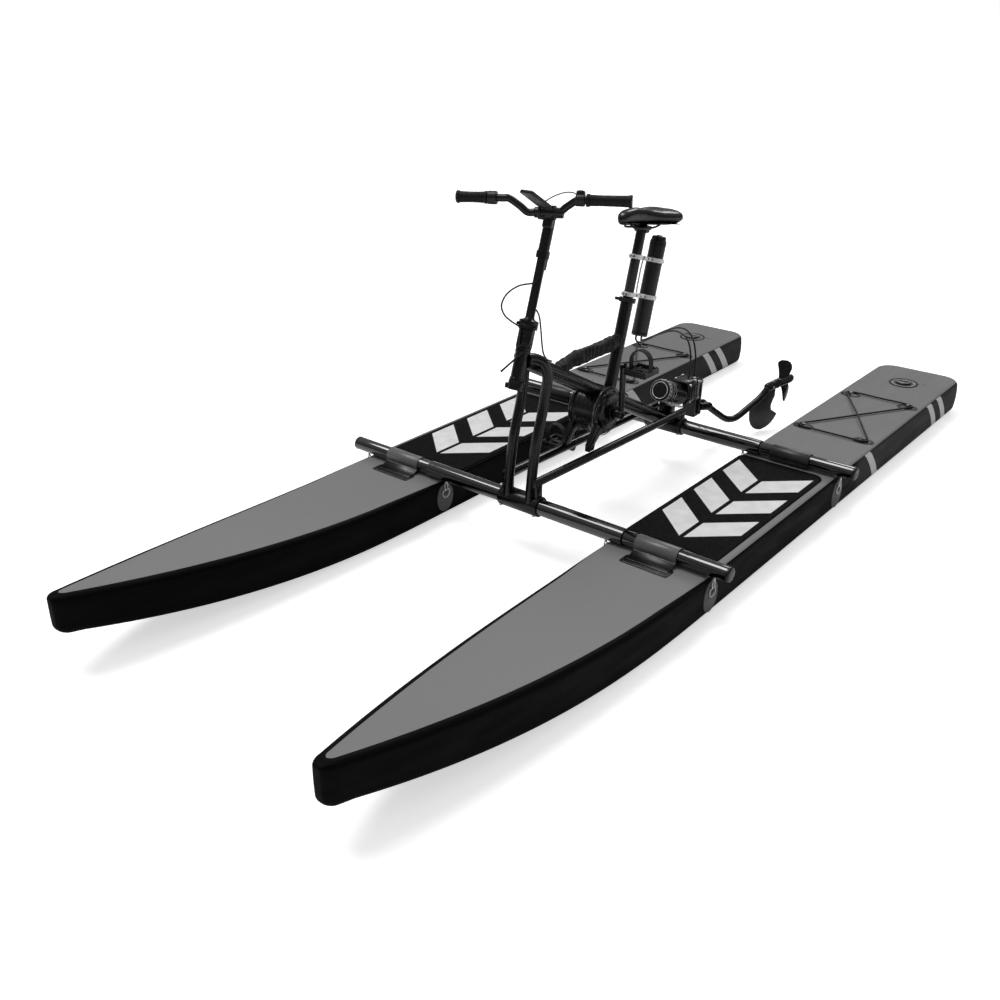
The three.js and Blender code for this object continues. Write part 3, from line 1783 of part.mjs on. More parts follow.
// cross bars, their straps and the frame's sleeves
[['front', bar.frontY], ['rear', bar.rearY]].forEach(([place, y]) => {
  keep(`${place}_bar_core`, buildBarCore(y), finishes.frameBlack);
  keep(`${place}_clamp`, buildClamp(y), finishes.frameBlack);
  sides.forEach(([name, side]) => {
    keep(`${place}_bar_${name}`, buildBarEnd(side, y), finishes.frameBlack);
    keep(`${place}_strap_${name}`, buildStrap(side, y), finishes.webbing);
  });
});

// frame
sides.forEach(([name, side]) => {
  keep(`rail_${name}`, buildRail(side), finishes.frameBlack);
  keep(`front_post_${name}`, buildPost(side), finishes.frameBlack);
});
keep('main_beam', buildBeam(), finishes.frameBlack);
keep('head_tube', buildHeadTube(), finishes.frameBlack);
keep('seat_tube', buildSeatTube(), finishes.frameBlack);
keep('frame_sleeve', buildSleeve(), finishes.fabric);

// pedal drive
keep('gear_drum', buildDrum(), finishes.blackPlastic);
sides.forEach(([name, side]) => {
  keep(`crank_${name}`, buildCrank(side), finishes.frameBlack);
  keep(`pedal_${name}`, buildPedal(side), finishes.blackPlastic);
});

// steering, in its own turned frame
keep('steerer', buildSteerer(), finishes.frameBlack, steered);
keep('fold_lever', buildFoldLever(), finishes.alloy, steered);
keep('mast', buildMast(), finishes.frameBlack, steered);
keep('mast_lever', buildMastLever(), finishes.blackPlastic, steered);
keep('stem', buildStem(), finishes.frameBlack, steered);
keep('handlebar', buildHandlebar(), finishes.frameBlack, steered);
keep('grip_left', buildGrip(1, handle.leftGripLength), finishes.rubber, steered);
keep('grip_right', buildGrip(-1, handle.rightGripLength), finishes.rubber, steered);
keep('throttle', buildThrottle(), finishes.blackPlastic, steered);
keep('switch_box', buildSwitchBox(), finishes.blackPlastic, steered);
keep('display', buildDisplay(), finishes.blackPlastic, steered);

// seat, in the post's turned frame
keep('seat_lever', buildSeatLever(), finishes.alloy, seated);
keep('seat_post', buildSeatPost(), finishes.frameBlack, seated);
keep('saddle', buildSaddle(), finishes.saddleSkin, seated);
keep('battery', buildBattery(), finishes.blackPlastic, seated);
keep('battery_clamp_upper', buildBatteryClamp(battery.upperClamp), finishes.alloy, seated);
keep('battery_clamp_lower', buildBatteryClamp(battery.lowerClamp), finishes.alloy, seated);

// stern drive
keep('motor', buildMotor(), finishes.blackPlastic);
keep('swivel_bracket', buildBracket(), finishes.alloy);
keep('swivel_head', buildSwivelHead(), finishes.frameBlack, towed);
keep('drive_leg', buildLeg(), finishes.frameBlack, towed);
keep('propeller', buildScrew(), finishes.screwBlack, towed);
keep('fin', buildFin(), finishes.finGrey, towed);

// cables
keep('drive_lead_left', buildLead(1, 9), finishes.cord);
keep('drive_lead_right', buildLead(-1, -7), finishes.cord);
keep('cable_loop', buildFrontLoop(), finishes.cord, steered);
keep('cable_rear', buildRearRun(), finishes.cord);

export default model;
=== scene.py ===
"""Looks of a pontoon water bike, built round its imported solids.

Every piece is worked out in millimetres in the frame of the solids (+X the rider's left, +Y aft, +Z up)
and becomes metres when it is put into its mesh.
"""

import json
import math

import bpy
import numpy as np
from mathutils import Matrix, Vector

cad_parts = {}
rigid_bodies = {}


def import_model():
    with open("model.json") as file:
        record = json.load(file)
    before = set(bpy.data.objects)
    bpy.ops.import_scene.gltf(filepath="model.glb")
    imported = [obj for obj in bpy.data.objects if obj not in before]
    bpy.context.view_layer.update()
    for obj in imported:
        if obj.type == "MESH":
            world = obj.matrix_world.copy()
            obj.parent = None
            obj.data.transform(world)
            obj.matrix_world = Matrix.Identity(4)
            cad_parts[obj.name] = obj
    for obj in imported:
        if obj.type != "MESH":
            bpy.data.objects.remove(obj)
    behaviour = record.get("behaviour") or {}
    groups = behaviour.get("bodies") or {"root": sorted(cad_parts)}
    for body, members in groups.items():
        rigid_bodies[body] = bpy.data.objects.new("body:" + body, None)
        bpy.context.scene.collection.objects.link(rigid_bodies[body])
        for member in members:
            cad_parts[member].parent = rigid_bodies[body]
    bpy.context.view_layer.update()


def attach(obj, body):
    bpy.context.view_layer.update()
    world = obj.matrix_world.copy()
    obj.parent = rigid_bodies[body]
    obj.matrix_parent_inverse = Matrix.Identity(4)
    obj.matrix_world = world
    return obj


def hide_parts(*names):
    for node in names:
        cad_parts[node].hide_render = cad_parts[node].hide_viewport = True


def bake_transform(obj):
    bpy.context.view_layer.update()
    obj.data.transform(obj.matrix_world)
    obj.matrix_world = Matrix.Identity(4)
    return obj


bl_info = {
    "name": "Pontoon water bike",
    "version": (1, 0, 0),
    "blender": (4, 5, 0),
    "location": "View3D > Sidebar > Water bike",
    "description": "Dresses the solids of a pontoon water bike with finished pieces and materials",
    "category": "Object",
}

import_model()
MILLIMETRE = 0.001

# Places in millimetres and tilts in degrees that several pieces share, as the solids have them. A foot is where
# the axis of a leaning part starts: the head tube, the seat tube and the screw's shaft.
SIDES = (("left", 1), ("right", -1))
HULL_X, DECK_Z, HULL_END = 520.0, 140.0, 1787.0
HULL_HALF, BOW_LENGTH, STERN_CORNER = 180.0, 1350.0, 58.0
FRONT_BAR, REAR_BAR, BAR_Z = -437.0, 463.0, 168.0
BARS = (("front", FRONT_BAR), ("rear", REAR_BAR))
BUTTON_ROWS, BUTTON_REACH = (832.0, 1291.0), 120.0
VALVE_Y = 1575.0
HEAD_FOOT, RAKE, STEERED_BY = (0, -470, 591), 18, 24
SEAT_FOOT, SEAT_TILT = (0, 101, 596), 15.5
SADDLE_PIVOT, SADDLE_TILT = 381, 7.5
SWIVEL_Y = 680.0
SHAFT_FOOT, SHAFT_TILT = (0, 451, 207), 12
BEAM_FRONT, BEAM_REAR = (0, -430, 644), (0, 440, 185)
AXLE_Y, AXLE_Z, CRANK_ARM = -20.0, 366.0, 172
RAIL_X, GRIP_END, BATTERY_BACK = 58, 257, 127


# ---- places and lines --------------------------------------------------------


def turn(degrees, axis):
    """A turn about a main axis through the origin."""
    return Matrix.Rotation(math.radians(degrees), 4, axis)


STEERED = Matrix.Translation(HEAD_FOOT) @ turn(-RAKE, "X") @ turn(STEERED_BY, "Z")
SEATED = Matrix.Translation(SEAT_FOOT) @ turn(-SEAT_TILT, "X")
TOWED = Matrix.Translation((0, SWIVEL_Y, 0)) @ turn(-STEERED_BY, "Z")
ON_BAR = STEERED @ Matrix.Translation((0, -34, 502)) @ turn(-8.6, "Y")
SADDLE_PLACE = SEATED @ Matrix.Translation((0, 0, SADDLE_PIVOT)) @ turn(SADDLE_TILT, "X")
SADDLE_PLACE = SADDLE_PLACE @ Matrix.Translation((0, 0, -SADDLE_PIVOT))


def circle(count):
    """So many angles spread evenly over a full turn."""
    return np.linspace(0, 2 * math.pi, count, endpoint=False)


def placed(points, place):
    """Points carried by a 4x4 matrix."""
    m = np.array(place)
    return np.asarray(points, float) @ m[:3, :3].T + m[:3, 3]


def unit(vectors):
    """The vectors brought to a length of one."""
    return vectors / np.maximum(np.linalg.norm(vectors, axis=-1, keepdims=True), 1e-9)


def smooth_line(points, steps):
    """A centripetal Catmull-Rom line through the points: on each span a cubic whose end slopes come from the
    neighbouring spans, weighted by the square roots of their lengths."""
    p = np.asarray(points, float)
    p = np.vstack([2 * p[0] - p[1], p, 2 * p[-1] - p[-2]])
    spans = len(p) - 3
    t = np.linspace(0, spans, steps + 1)
    i = np.minimum(t.astype(int), spans - 1)
    w = (t - i)[:, None]
    x0, x1, x2, x3 = p[i], p[i + 1], p[i + 2], p[i + 3]
    d0, d1, d2 = (np.linalg.norm(b - a, axis=1)[:, None] ** 0.5 for a, b in ((x0, x1), (x1, x2), (x2, x3)))
    s1 = ((x1 - x0) / d0 - (x2 - x0) / (d0 + d1) + (x2 - x1) / d1) * d1
    s2 = ((x2 - x1) / d1 - (x3 - x1) / (d1 + d2) + (x3 - x2) / d2) * d1
    return x1 + s1 * w + (3 * (x2 - x1) - 2 * s1 - s2) * w**2 + (2 * (x1 - x2) + s1 + s2) * w**3


def evenly(line, count):
    """The same line with its points an equal arc length apart."""
    line = np.asarray(line, float)
    s = np.concatenate([[0], np.cumsum(np.linalg.norm(np.diff(line, axis=0), axis=1))])
    at = np.linspace(0, s[-1], count)
    return np.stack([np.interp(at, s, line[:, k]) for k in range(3)], 1)


def line_length(line):
    """Sum of the distances between neighbouring points."""
    return float(np.linalg.norm(np.diff(line, axis=0), axis=1).sum())


# ---- meshes -------------------------------------------------------------------


def grid_faces(rows, columns, wrap_rows, wrap_columns):
    """Four-cornered faces over a grid of points, joined round where it wraps."""
    i = np.arange(rows if wrap_rows else rows - 1)[:, None]
    j = np.arange(columns if wrap_columns else columns - 1)[None, :]
    a, b = i * columns + j, i * columns + (j + 1) % columns
    c, d = (i + 1) % rows * columns + (j + 1) % columns, (i + 1) % rows * columns + j
    return np.stack([a, b, c, d], -1).reshape(-1, 4).tolist()


def volume_of(points, faces):
    """Six times the signed volume, as the sum over fans of each face's corner triangles."""
    total = 0.0
    sizes = {}
    for f in faces:
        sizes.setdefault(len(f), []).append(f)
    for size, group in sizes.items():
        corner = points[np.array(group)]
        for k in range(1, size - 1):
            total += (corner[:, 0] * np.cross(corner[:, k], corner[:, k + 1])).sum()
    return total


class Form:
    """Points and faces in millimetres, which several shapes join before they become one piece."""

    def __init__(self, place=None):
        self.points, self.faces, self.tone = [], [], []
        self.count, self.place = 0, place

    def add(self, points, faces, tone=0.0):
        points = np.asarray(points, float).reshape(-1, 3)
        if volume_of(points, faces) < 0:
            faces = [f[::-1] for f in faces]
        self.faces += [[v + self.count for v in f] for f in faces]
        self.points.append(points)
        self.tone.append(np.full(len(points), tone))
        self.count += len(points)
        return self

    def rings(self, rings, loop=False, tone=0.0, place=None):
        """A skin over rings of points, closed by a flat face at each end unless the rings run in a loop."""
        rings = np.asarray(rings, float)
        rows, columns = rings.shape[:2]
        faces = grid_faces(rows, columns, loop, True)
        if not loop:
            faces += [list(range(columns))[::-1], list(range((rows - 1) * columns, rows * columns))]
        points, place = rings.reshape(-1, 3), place or self.place
        return self.add(placed(points, place) if place else points, faces, tone)

    def sweep(self, line, radius, sides=28, round_end=0.0, tone=0.0, place=None):
        """A round skin along a line: at each point a ring square to the line, radius times the cosine and sine of
        the angle round it, drawn in by a quarter circle at both ends."""
        line = np.asarray(line, float)
        radii = np.broadcast_to(np.asarray(radius, float), len(line)).copy()
        if round_end:
            quarter = np.linspace(0, math.pi / 2, 5)
            for end in (0, -1):
                way = unit(line[1] - line[0]) if end == 0 else unit(line[-2] - line[-1])
                tip = line[end] + way * (round_end * (1 - np.sin(quarter)))[:, None]
                ring = radii[end] - round_end * (1 - np.cos(quarter))
                if end == 0:
                    line, radii = np.vstack([tip[::-1], line[1:]]), np.concatenate([ring[::-1], radii[1:]])
                else:
                    line, radii = np.vstack([line[:-1], tip]), np.concatenate([radii[:-1], ring])
        ahead = unit(np.gradient(line, axis=0))
        spare = np.linalg.svd(ahead, full_matrices=True)[2][-1]
        across = unit(np.cross(ahead, spare))
        up = np.cross(across, ahead)
        angle = circle(sides)
        ring = np.cos(angle)[:, None, None] * across + np.sin(angle)[:, None, None] * up
        rings = line[:, None] + radii[:, None, None] * ring.transpose(1, 0, 2)
        return self.rings(rings, tone=tone, place=place)

    def turned(self, profile, start, end, sides=48, loop=False, tone=0.0, place=None):
        """A profile of (radius, distance) pairs turned about the line from start to end."""
        start, end = np.asarray(start, float), np.asarray(end, float)
        axis = unit(end - start)
        side = unit(np.cross(axis, [0.31, 0.52, 0.8]))
        other = np.cross(axis, side)
        angle = circle(sides)
        round_it = np.cos(angle)[:, None] * side + np.sin(angle)[:, None] * other
        profile = np.asarray(profile, float)
        rings = start + profile[:, 1][:, None, None] * axis + profile[:, 0][:, None, None] * round_it
        return self.rings(rings, loop=loop, tone=tone, place=place)

    def block(self, low, high, edge=1.5, tone=0.0, place=None):
        """A box with rounded edges: a small ball's points, each pushed out to the corner that it faces."""
        low, high = np.minimum(low, high).astype(float), np.maximum(low, high).astype(float)
        edge = min(edge, (high - low).min() * 0.45)
        lean = np.array([-84, -60, -30, -6, 6, 30, 60, 84]) * math.pi / 180
        round_it = np.concatenate([np.radians([6, 30, 60, 84]) + k * math.pi / 2 for k in range(4)])
        ball = np.stack(
            [
                np.cos(lean)[:, None] * np.cos(round_it),
                np.cos(lean)[:, None] * np.sin(round_it),
                np.broadcast_to(np.sin(lean)[:, None], (len(lean), len(round_it))),
            ],
            -1,
        )
        reach = (high - low) / 2 - edge
        points = (low + high) / 2 + np.sign(ball) * reach + ball * edge
        return self.rings(points, tone=tone, place=place)

    def plate(self, outline, low, high, edge=1.0, axis="Z", tone=0.0, place=None):
        """A flat outline made thick, its rim drawn in at both faces. The outline lies across the named axis."""
        outline = np.asarray(outline, float)
        turned = np.roll(outline, -1, 0) - np.roll(outline, 1, 0)
        inward = unit(np.stack([-turned[:, 1], turned[:, 0]], 1))
        area = (outline[:, 0] * np.roll(outline[:, 1], -1) - np.roll(outline[:, 0], -1) * outline[:, 1]).sum()
        inward *= math.copysign(1, area)
        levels = [(low, 1.0), (low + edge * 0.3, 0.3), (low + edge, 0.0), (high - edge, 0.0),
            (high - edge * 0.3, 0.3), (high, 1.0)]
        rows = []
        for height, inset in levels:
            flat = outline + inward * edge * inset
            row = np.column_stack([flat, np.full(len(flat), height)])
            rows.append({"Z": row, "X": row[:, [2, 0, 1]], "Y": row[:, [0, 2, 1]]}[axis])
        return self.rings(np.array(rows), tone=tone, place=place)


def arc(centre, radius, start, end, steps):
    """Points of an arc in a plane, from one angle to another in degrees."""
    angle = np.radians(np.linspace(start, end, steps))
    return np.stack([centre[0] + radius * np.cos(angle), centre[1] + radius * np.sin(angle)], 1)


def pin(radius, length, back=1.0, down=1.0, hole=2.0):
    """Profile of a round bar whose two rims are bevelled back and down by so much."""
    rim, level = radius - back, length - down
    return [(hole, 0), (rim, 0), (radius, down), (radius, level), (rim, length), (hole, length)]


def collar(inner, outer, length, out=0.5, along=0.5, back=1.0, down=1.0):
    """Profile of a ring or tube, bevelled inside by (out, along) and outside by (back, down)."""
    near = [(inner, along), (inner + out, 0), (outer - back, 0), (outer, down)]
    return near + [(radius, length - at) for radius, at in near[::-1]]


def rounded_outline(low, high, corner, steps=7):
    """A rectangle whose corners are quarter circles."""
    (x0, y0), (x1, y1) = low, high
    return np.vstack(
        [
            arc((x1 - corner, y0 + corner), corner, -90, 0, steps),
            arc((x1 - corner, y1 - corner), corner, 0, 90, steps),
            arc((x0 + corner, y1 - corner), corner, 90, 180, steps),
            arc((x0 + corner, y0 + corner), corner, 180, 270, steps),
        ]
    )


SLOTS = {
    "steel": "alloy",
    "machined": "alloy",
    "alloy": "alloy",
    "plastic": "black_plastic",
    "drum": "black_plastic",
    "bar": "frame_black",
    "tube": "frame_black",
}


def make_piece(name, form, body, finish, stands_for=(), slot=None, crease=38):
    """Puts a form into a mesh in metres, smooth but for its sharp edges, and lets it ride on its body. The slot
    is not used: neither the one given nor the one that the finish would name is put on the piece."""
    mesh = bpy.data.meshes.new(name)
    points = np.vstack(form.points) * MILLIMETRE
    mesh.from_pydata(points, [], form.faces)
    mesh.validate()
    mesh.shade_smooth()
    mesh.set_sharp_from_angle(angle=math.radians(crease))
    tone = mesh.attributes.new("tone", "FLOAT", "POINT")
    tone.data.foreach_set("value", np.concatenate(form.tone).astype(np.float32))
    piece = bpy.data.objects.new(name, mesh)
    bpy.context.scene.collection.objects.link(piece)
    mesh.materials.append(FINISHES[finish])
    if body:
        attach(piece, body)
    if stands_for:
        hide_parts(*stands_for)
    slot = slot or SLOTS.get(finish)
    return piece


# ---- materials ----------------------------------------------------------------


class Finish:
    """A node material: helper calls add a node and join it to what is given."""

    def __init__(self, name, rough=0.5, metal=0.0, coat=0.0, coat_rough=0.1, level=0.5, sheen=0.0):
        self.material = bpy.data.materials.new(name)
        self.material.use_nodes = True
        self.nodes = self.material.node_tree.nodes
        self.shader = self.nodes["Principled BSDF"]
        self.shader.inputs["Metallic"].default_value = metal
        self.shader.inputs["Roughness"].default_value = rough
        self.shader.inputs["Specular IOR Level"].default_value = level
        if coat:
            self.shader.inputs["Coat Weight"].default_value = coat
            self.shader.inputs["Coat Roughness"].default_value = coat_rough
        if sheen:
            self.shader.inputs["Sheen Weight"].default_value = sheen
            self.shader.inputs["Sheen Roughness"].default_value = 0.5
        self.place = self.nodes.new("ShaderNodeTexCoord").outputs["Object"]

    def link(self, source, target):
        self.material.node_tree.links.new(source, target)

    def set(self, node, socket, value):
        if hasattr(value, "is_output"):
            self.link(value, node.inputs[socket])
        else:
            node.inputs[socket].default_value = value

    def scaled(self, scale):
        node = self.nodes.new("ShaderNodeMapping")
        self.link(self.place, node.inputs["Vector"])
        node.inputs["Scale"].default_value = scale
        return node.outputs["Vector"]

    def noise(self, scale, detail=3.0, vector=None):
        node = self.nodes.new("ShaderNodeTexNoise")
        self.link(vector or self.place, node.inputs["Vector"])
        node.inputs["Scale"].default_value = scale
        node.inputs["Detail"].default_value = detail
        return node.outputs["Fac"]

    def cells(self, scale):
        node = self.nodes.new("ShaderNodeTexVoronoi")
        self.link(self.place, node.inputs["Vector"])
        node.inputs["Scale"].default_value = scale
        return node.outputs["Distance"]

    def sums(self, kind, a, b=0.0, c=0.0):
        node = self.nodes.new("ShaderNodeMath")
        node.operation = kind
        for k, value in enumerate((a, b, c)):
            self.set(node, k, value)
        return node.outputs[0]

    def span(self, value, low, high, to_low=0.0, to_high=1.0):
        node = self.nodes.new("ShaderNodeMapRange")
        for k, item in enumerate((value, low, high, to_low, to_high)):
            self.set(node, k, item)
        return node.outputs["Result"]

    def mix(self, share, a, b):
        node = self.nodes.new("ShaderNodeMix")
        node.data_type = "RGBA"
        self.set(node, "Factor", share)
        for socket, value in zip(("A", "B"), (a, b)):
            found = [s for s in node.inputs if s.name == socket and s.type == "RGBA"][0]
            if hasattr(value, "is_output"):
                self.link(value, found)
            else:
                found.default_value = (*value, 1)
        return [s for s in node.outputs if s.type == "RGBA"][0]

    def parts(self, vector=None):
        node = self.nodes.new("ShaderNodeSeparateXYZ")
        self.link(vector or self.place, node.inputs[0])
        return node.outputs

    def colour(self, value):
        self.link(value, self.shader.inputs["Base Color"])

    def roughness(self, value):
        self.link(value, self.shader.inputs["Roughness"])

    def bump(self, height, strength, distance=0.001):
        node = self.nodes.new("ShaderNodeBump")
        self.link(height, node.inputs["Height"])
        node.inputs["Strength"].default_value = strength
        node.inputs["Distance"].default_value = distance
        self.link(node.outputs["Normal"], self.shader.inputs["Normal"])

    def attribute(self, name):
        node = self.nodes.new("ShaderNodeAttribute")
        node.attribute_name = name
        return node.outputs["Fac"]


def mottled(name, dark, light, rough, spread=0.12, patch=9.0, grain=700.0, relief=0.15, coat_ior=0, **more):
    """A moulded or painted surface: two near tones in soft patches, uneven gloss and a fine grain."""
    f = Finish(name, rough, **more)
    cloud = f.noise(patch, 4)
    scuff = f.noise(patch * 7, 5, f.scaled((1, 0.25, 1)))
    f.colour(f.mix(f.span(cloud, 0.35, 0.65), dark, light))
    f.roughness(f.span(scuff, 0.3, 0.7, max(rough - spread, 0.03), min(rough + spread, 1)))
    f.bump(f.noise(grain, 2), relief, 0.0004)
    if coat_ior:
        f.shader.inputs["Coat IOR"].default_value = coat_ior
    return f.material


def grey(value):
    """A neutral colour from its sRGB level of 0 to 255."""
    return ((value / 255) ** 2.2,) * 3


def hull_finish(settings):
    """Grey deck inside the seam, near black walls outside it, pale bands on the walls near the stern. The deck's grey
    runs from its bow level to its stern level as painted light and shade; the deck cloth itself is one grey.
    """
    f = Finish("hull_pvc", 0.5, level=0.07)
    _, y, z = f.parts()
    inside = f.attribute("seam")
    deck_share = f.span(inside, -0.0006, 0.0006)
    cloud = f.noise(1.6, 3)
    # Painted light and shade: the deck's grey shifts from bow to stern, though the deck is one grey cloth.
    painted_shade_fore_aft = f.span(y, -1.2, 1.5)
    deck = f.mix(painted_shade_fore_aft, grey(settings.deck_bow), grey(settings.deck_stern))
    deck = f.mix(f.span(cloud, 0.3, 0.7, 0.0, 0.35), deck, grey(settings.deck_bow - 9))
    wall = f.mix(f.span(y, 0.62, 0.66), grey(settings.wall_bow), grey(settings.wall_stern))
    band = None
    slanted = f.sums("ADD", y, f.sums("MULTIPLY", z, settings.band_slant))
    for middle in (settings.band_front, settings.band_middle, settings.band_rear):
        away = f.sums("ABSOLUTE", f.sums("SUBTRACT", slanted, middle + 0.14 * settings.band_slant))
        this = f.span(away, settings.band_width / 2 + 0.0006, settings.band_width / 2 - 0.0006)
        band = this if band is None else f.sums("MAXIMUM", band, this)
    outer = f.span(inside, -0.0015, -0.0027)
    above = f.span(z, 0.012, 0.014)
    band = f.sums("MULTIPLY", f.sums("MULTIPLY", band, outer), above)
    wall = f.mix(band, wall, grey(214))
    rim = f.sums("MULTIPLY", f.span(inside, -0.0125, -0.0105), f.span(y, 0.6, 0.5))
    wall = f.mix(rim, wall, grey(settings.wall_bow + 8))
    f.colour(f.mix(deck_share, wall, deck))
    scuff = f.noise(26, 5, f.scaled((1, 0.2, 1)))
    deck_rough = f.span(scuff, 0.3, 0.7, 0.42, 0.6)
    wall_rough = f.span(scuff, 0.3, 0.7, 0.5, 0.68)
    node = f.nodes.new("ShaderNodeMix")
    f.set(node, 0, deck_share)
    f.set(node, 2, wall_rough)
    f.set(node, 3, deck_rough)
    f.roughness(node.outputs[0])
    weave = f.sums("ADD", f.cells(420), f.sums("MULTIPLY", f.noise(9, 3), 3.0))
    step = f.sums("ADD", f.sums("MULTIPLY", weave, 0.22), f.sums("MULTIPLY", f.span(inside, -0.0125, -0.0108), 1.2))
    step = f.sums("ADD", step, f.sums("MULTIPLY", deck_share, -0.6))
    f.bump(step, 0.55, 0.0012)
    return f.material


def pad_finish(settings):
    """Black grooved foam with broad white chevrons that point to the bow."""
    f = Finish("pad_foam", 0.75, level=0.08)
    x, y, _ = f.parts()
    across = f.sums("ABSOLUTE", f.sums("SUBTRACT", f.sums("ABSOLUTE", x), 0.508))
    lean = f.sums("SUBTRACT", y, f.sums("MULTIPLY", across, settings.chevron_lean))
    wave = f.sums("FRACT", f.sums("DIVIDE", f.sums("ADD", lean, settings.chevron_start), settings.chevron_pitch))
    away = f.sums("ABSOLUTE", f.sums("SUBTRACT", wave, 0.5))
    soft = 0.0012 / settings.chevron_pitch
    mark = f.span(away, settings.chevron_share / 2 + soft, settings.chevron_share / 2 - soft)
    split = f.span(across, 0.007, 0.0085)
    side = f.span(across, 0.1425, 0.141)
    fore = f.span(lean, settings.art_front - 0.0008, settings.art_front + 0.0008)
    aft = f.span(lean, settings.art_rear + 0.0008, settings.art_rear - 0.0008)
    for limit in (split, side, fore, aft):
        mark = f.sums("MULTIPLY", mark, limit)
    cloud = f.noise(22, 4)
    dark = f.mix(f.span(cloud, 0.35, 0.65), grey(12), grey(18))
    white = f.mix(f.span(cloud, 0.35, 0.65), grey(226), grey(238))
    f.colour(f.mix(mark, dark, white))
    f.roughness(f.span(f.noise(160, 3), 0.3, 0.7, 0.62, 0.86))
    groove = f.sums("PINGPONG", x, 0.0045)
    height = f.sums("ADD", f.span(groove, 0.0, 0.0012), f.sums("MULTIPLY", f.noise(1500, 2), 0.22))
    f.bump(height, 0.45, 0.0008)
    return f.material


def strap_finish():
    """Grey coated cloth over the bar that turns to black at the seam in front of it."""
    f = Finish("front_strap_pvc", 0.3, level=0.45)
    y = f.parts()[1]
    cloud = f.noise(6, 4)
    skin = f.mix(f.span(cloud, 0.35, 0.65), grey(98), grey(110))
    f.colour(f.mix(f.span(y, -0.4652, -0.464), grey(9), skin))
    f.roughness(f.span(f.noise(42, 5), 0.3, 0.7, 0.26, 0.36))
    f.bump(f.noise(420, 2), 0.06, 0.0004)
    return f.material


def woven(name, dark, light, rough, threads, relief=0.5, sheen=0.15):
    """Cloth or braid: two crossing sets of fine waves on the piece's own UV map, with uneven tone."""
    f = Finish(name, rough, sheen=sheen, level=0.3)
    u, v, _ = f.parts(f.nodes.new("ShaderNodeTexCoord").outputs["UV"])
    warp = f.sums("SINE", f.sums("MULTIPLY", u, threads * 2))
    weft = f.sums("SINE", f.sums("MULTIPLY", v, threads * 2))
    checks = f.sums("MULTIPLY", warp, weft)
    cloud = f.noise(30, 4)
    tone = f.mix(f.span(cloud, 0.35, 0.65), dark, light)
    f.colour(f.mix(f.span(checks, -1, 1, 0.0, 0.45), tone, [c * 0.55 for c in dark]))
    f.roughness(f.span(f.noise(220, 3), 0.3, 0.7, rough - 0.1, min(rough + 0.12, 1)))
    f.bump(checks, relief, 0.0003)
    return f.material


def toned(name, dark, light, rough):
    """Two greys of one moulding, told apart by the tone that each part of the form was given."""
    f = Finish(name, rough, level=0.3)
    cloud = f.noise(40, 4)
    base = f.mix(f.attribute("tone"), dark, light)
    f.colour(f.mix(f.span(cloud, 0.35, 0.65, 0.0, 0.25), base, dark))
    f.roughness(f.span(f.noise(150, 4), 0.3, 0.7, rough - 0.08, rough + 0.12))
    f.bump(f.noise(600, 2), 0.12, 0.0003)
    return f.material


def brushed(name, dark, light, rough, metal):
    """Bright metal with fine drawn lines, small dull patches and scratches."""
    f = Finish(name, rough, metal=metal)
    lines = f.noise(55, 4, f.scaled((1, 60, 60)))
    cloud = f.noise(40, 3)
    f.colour(f.mix(f.span(cloud, 0.35, 0.65), dark, light))
    f.roughness(f.span(lines, 0.3, 0.7, rough - 0.08, rough + 0.14))
    f.bump(lines, 0.12, 0.0002)
    return f.material


def display_finish():
    """A dark glass face in a matt rim."""
    f = Finish("display_glass", 0.12, level=0.6, coat=0.6, coat_rough=0.05)
    cloud = f.noise(60, 3)
    f.colour(f.mix(f.span(cloud, 0.3, 0.7), grey(13), grey(19)))
    f.roughness(f.span(f.noise(120, 4), 0.3, 0.7, 0.08, 0.2))
    f.bump(f.noise(500, 2), 0.05, 0.0002)
    return f.material


FINISHES = {}

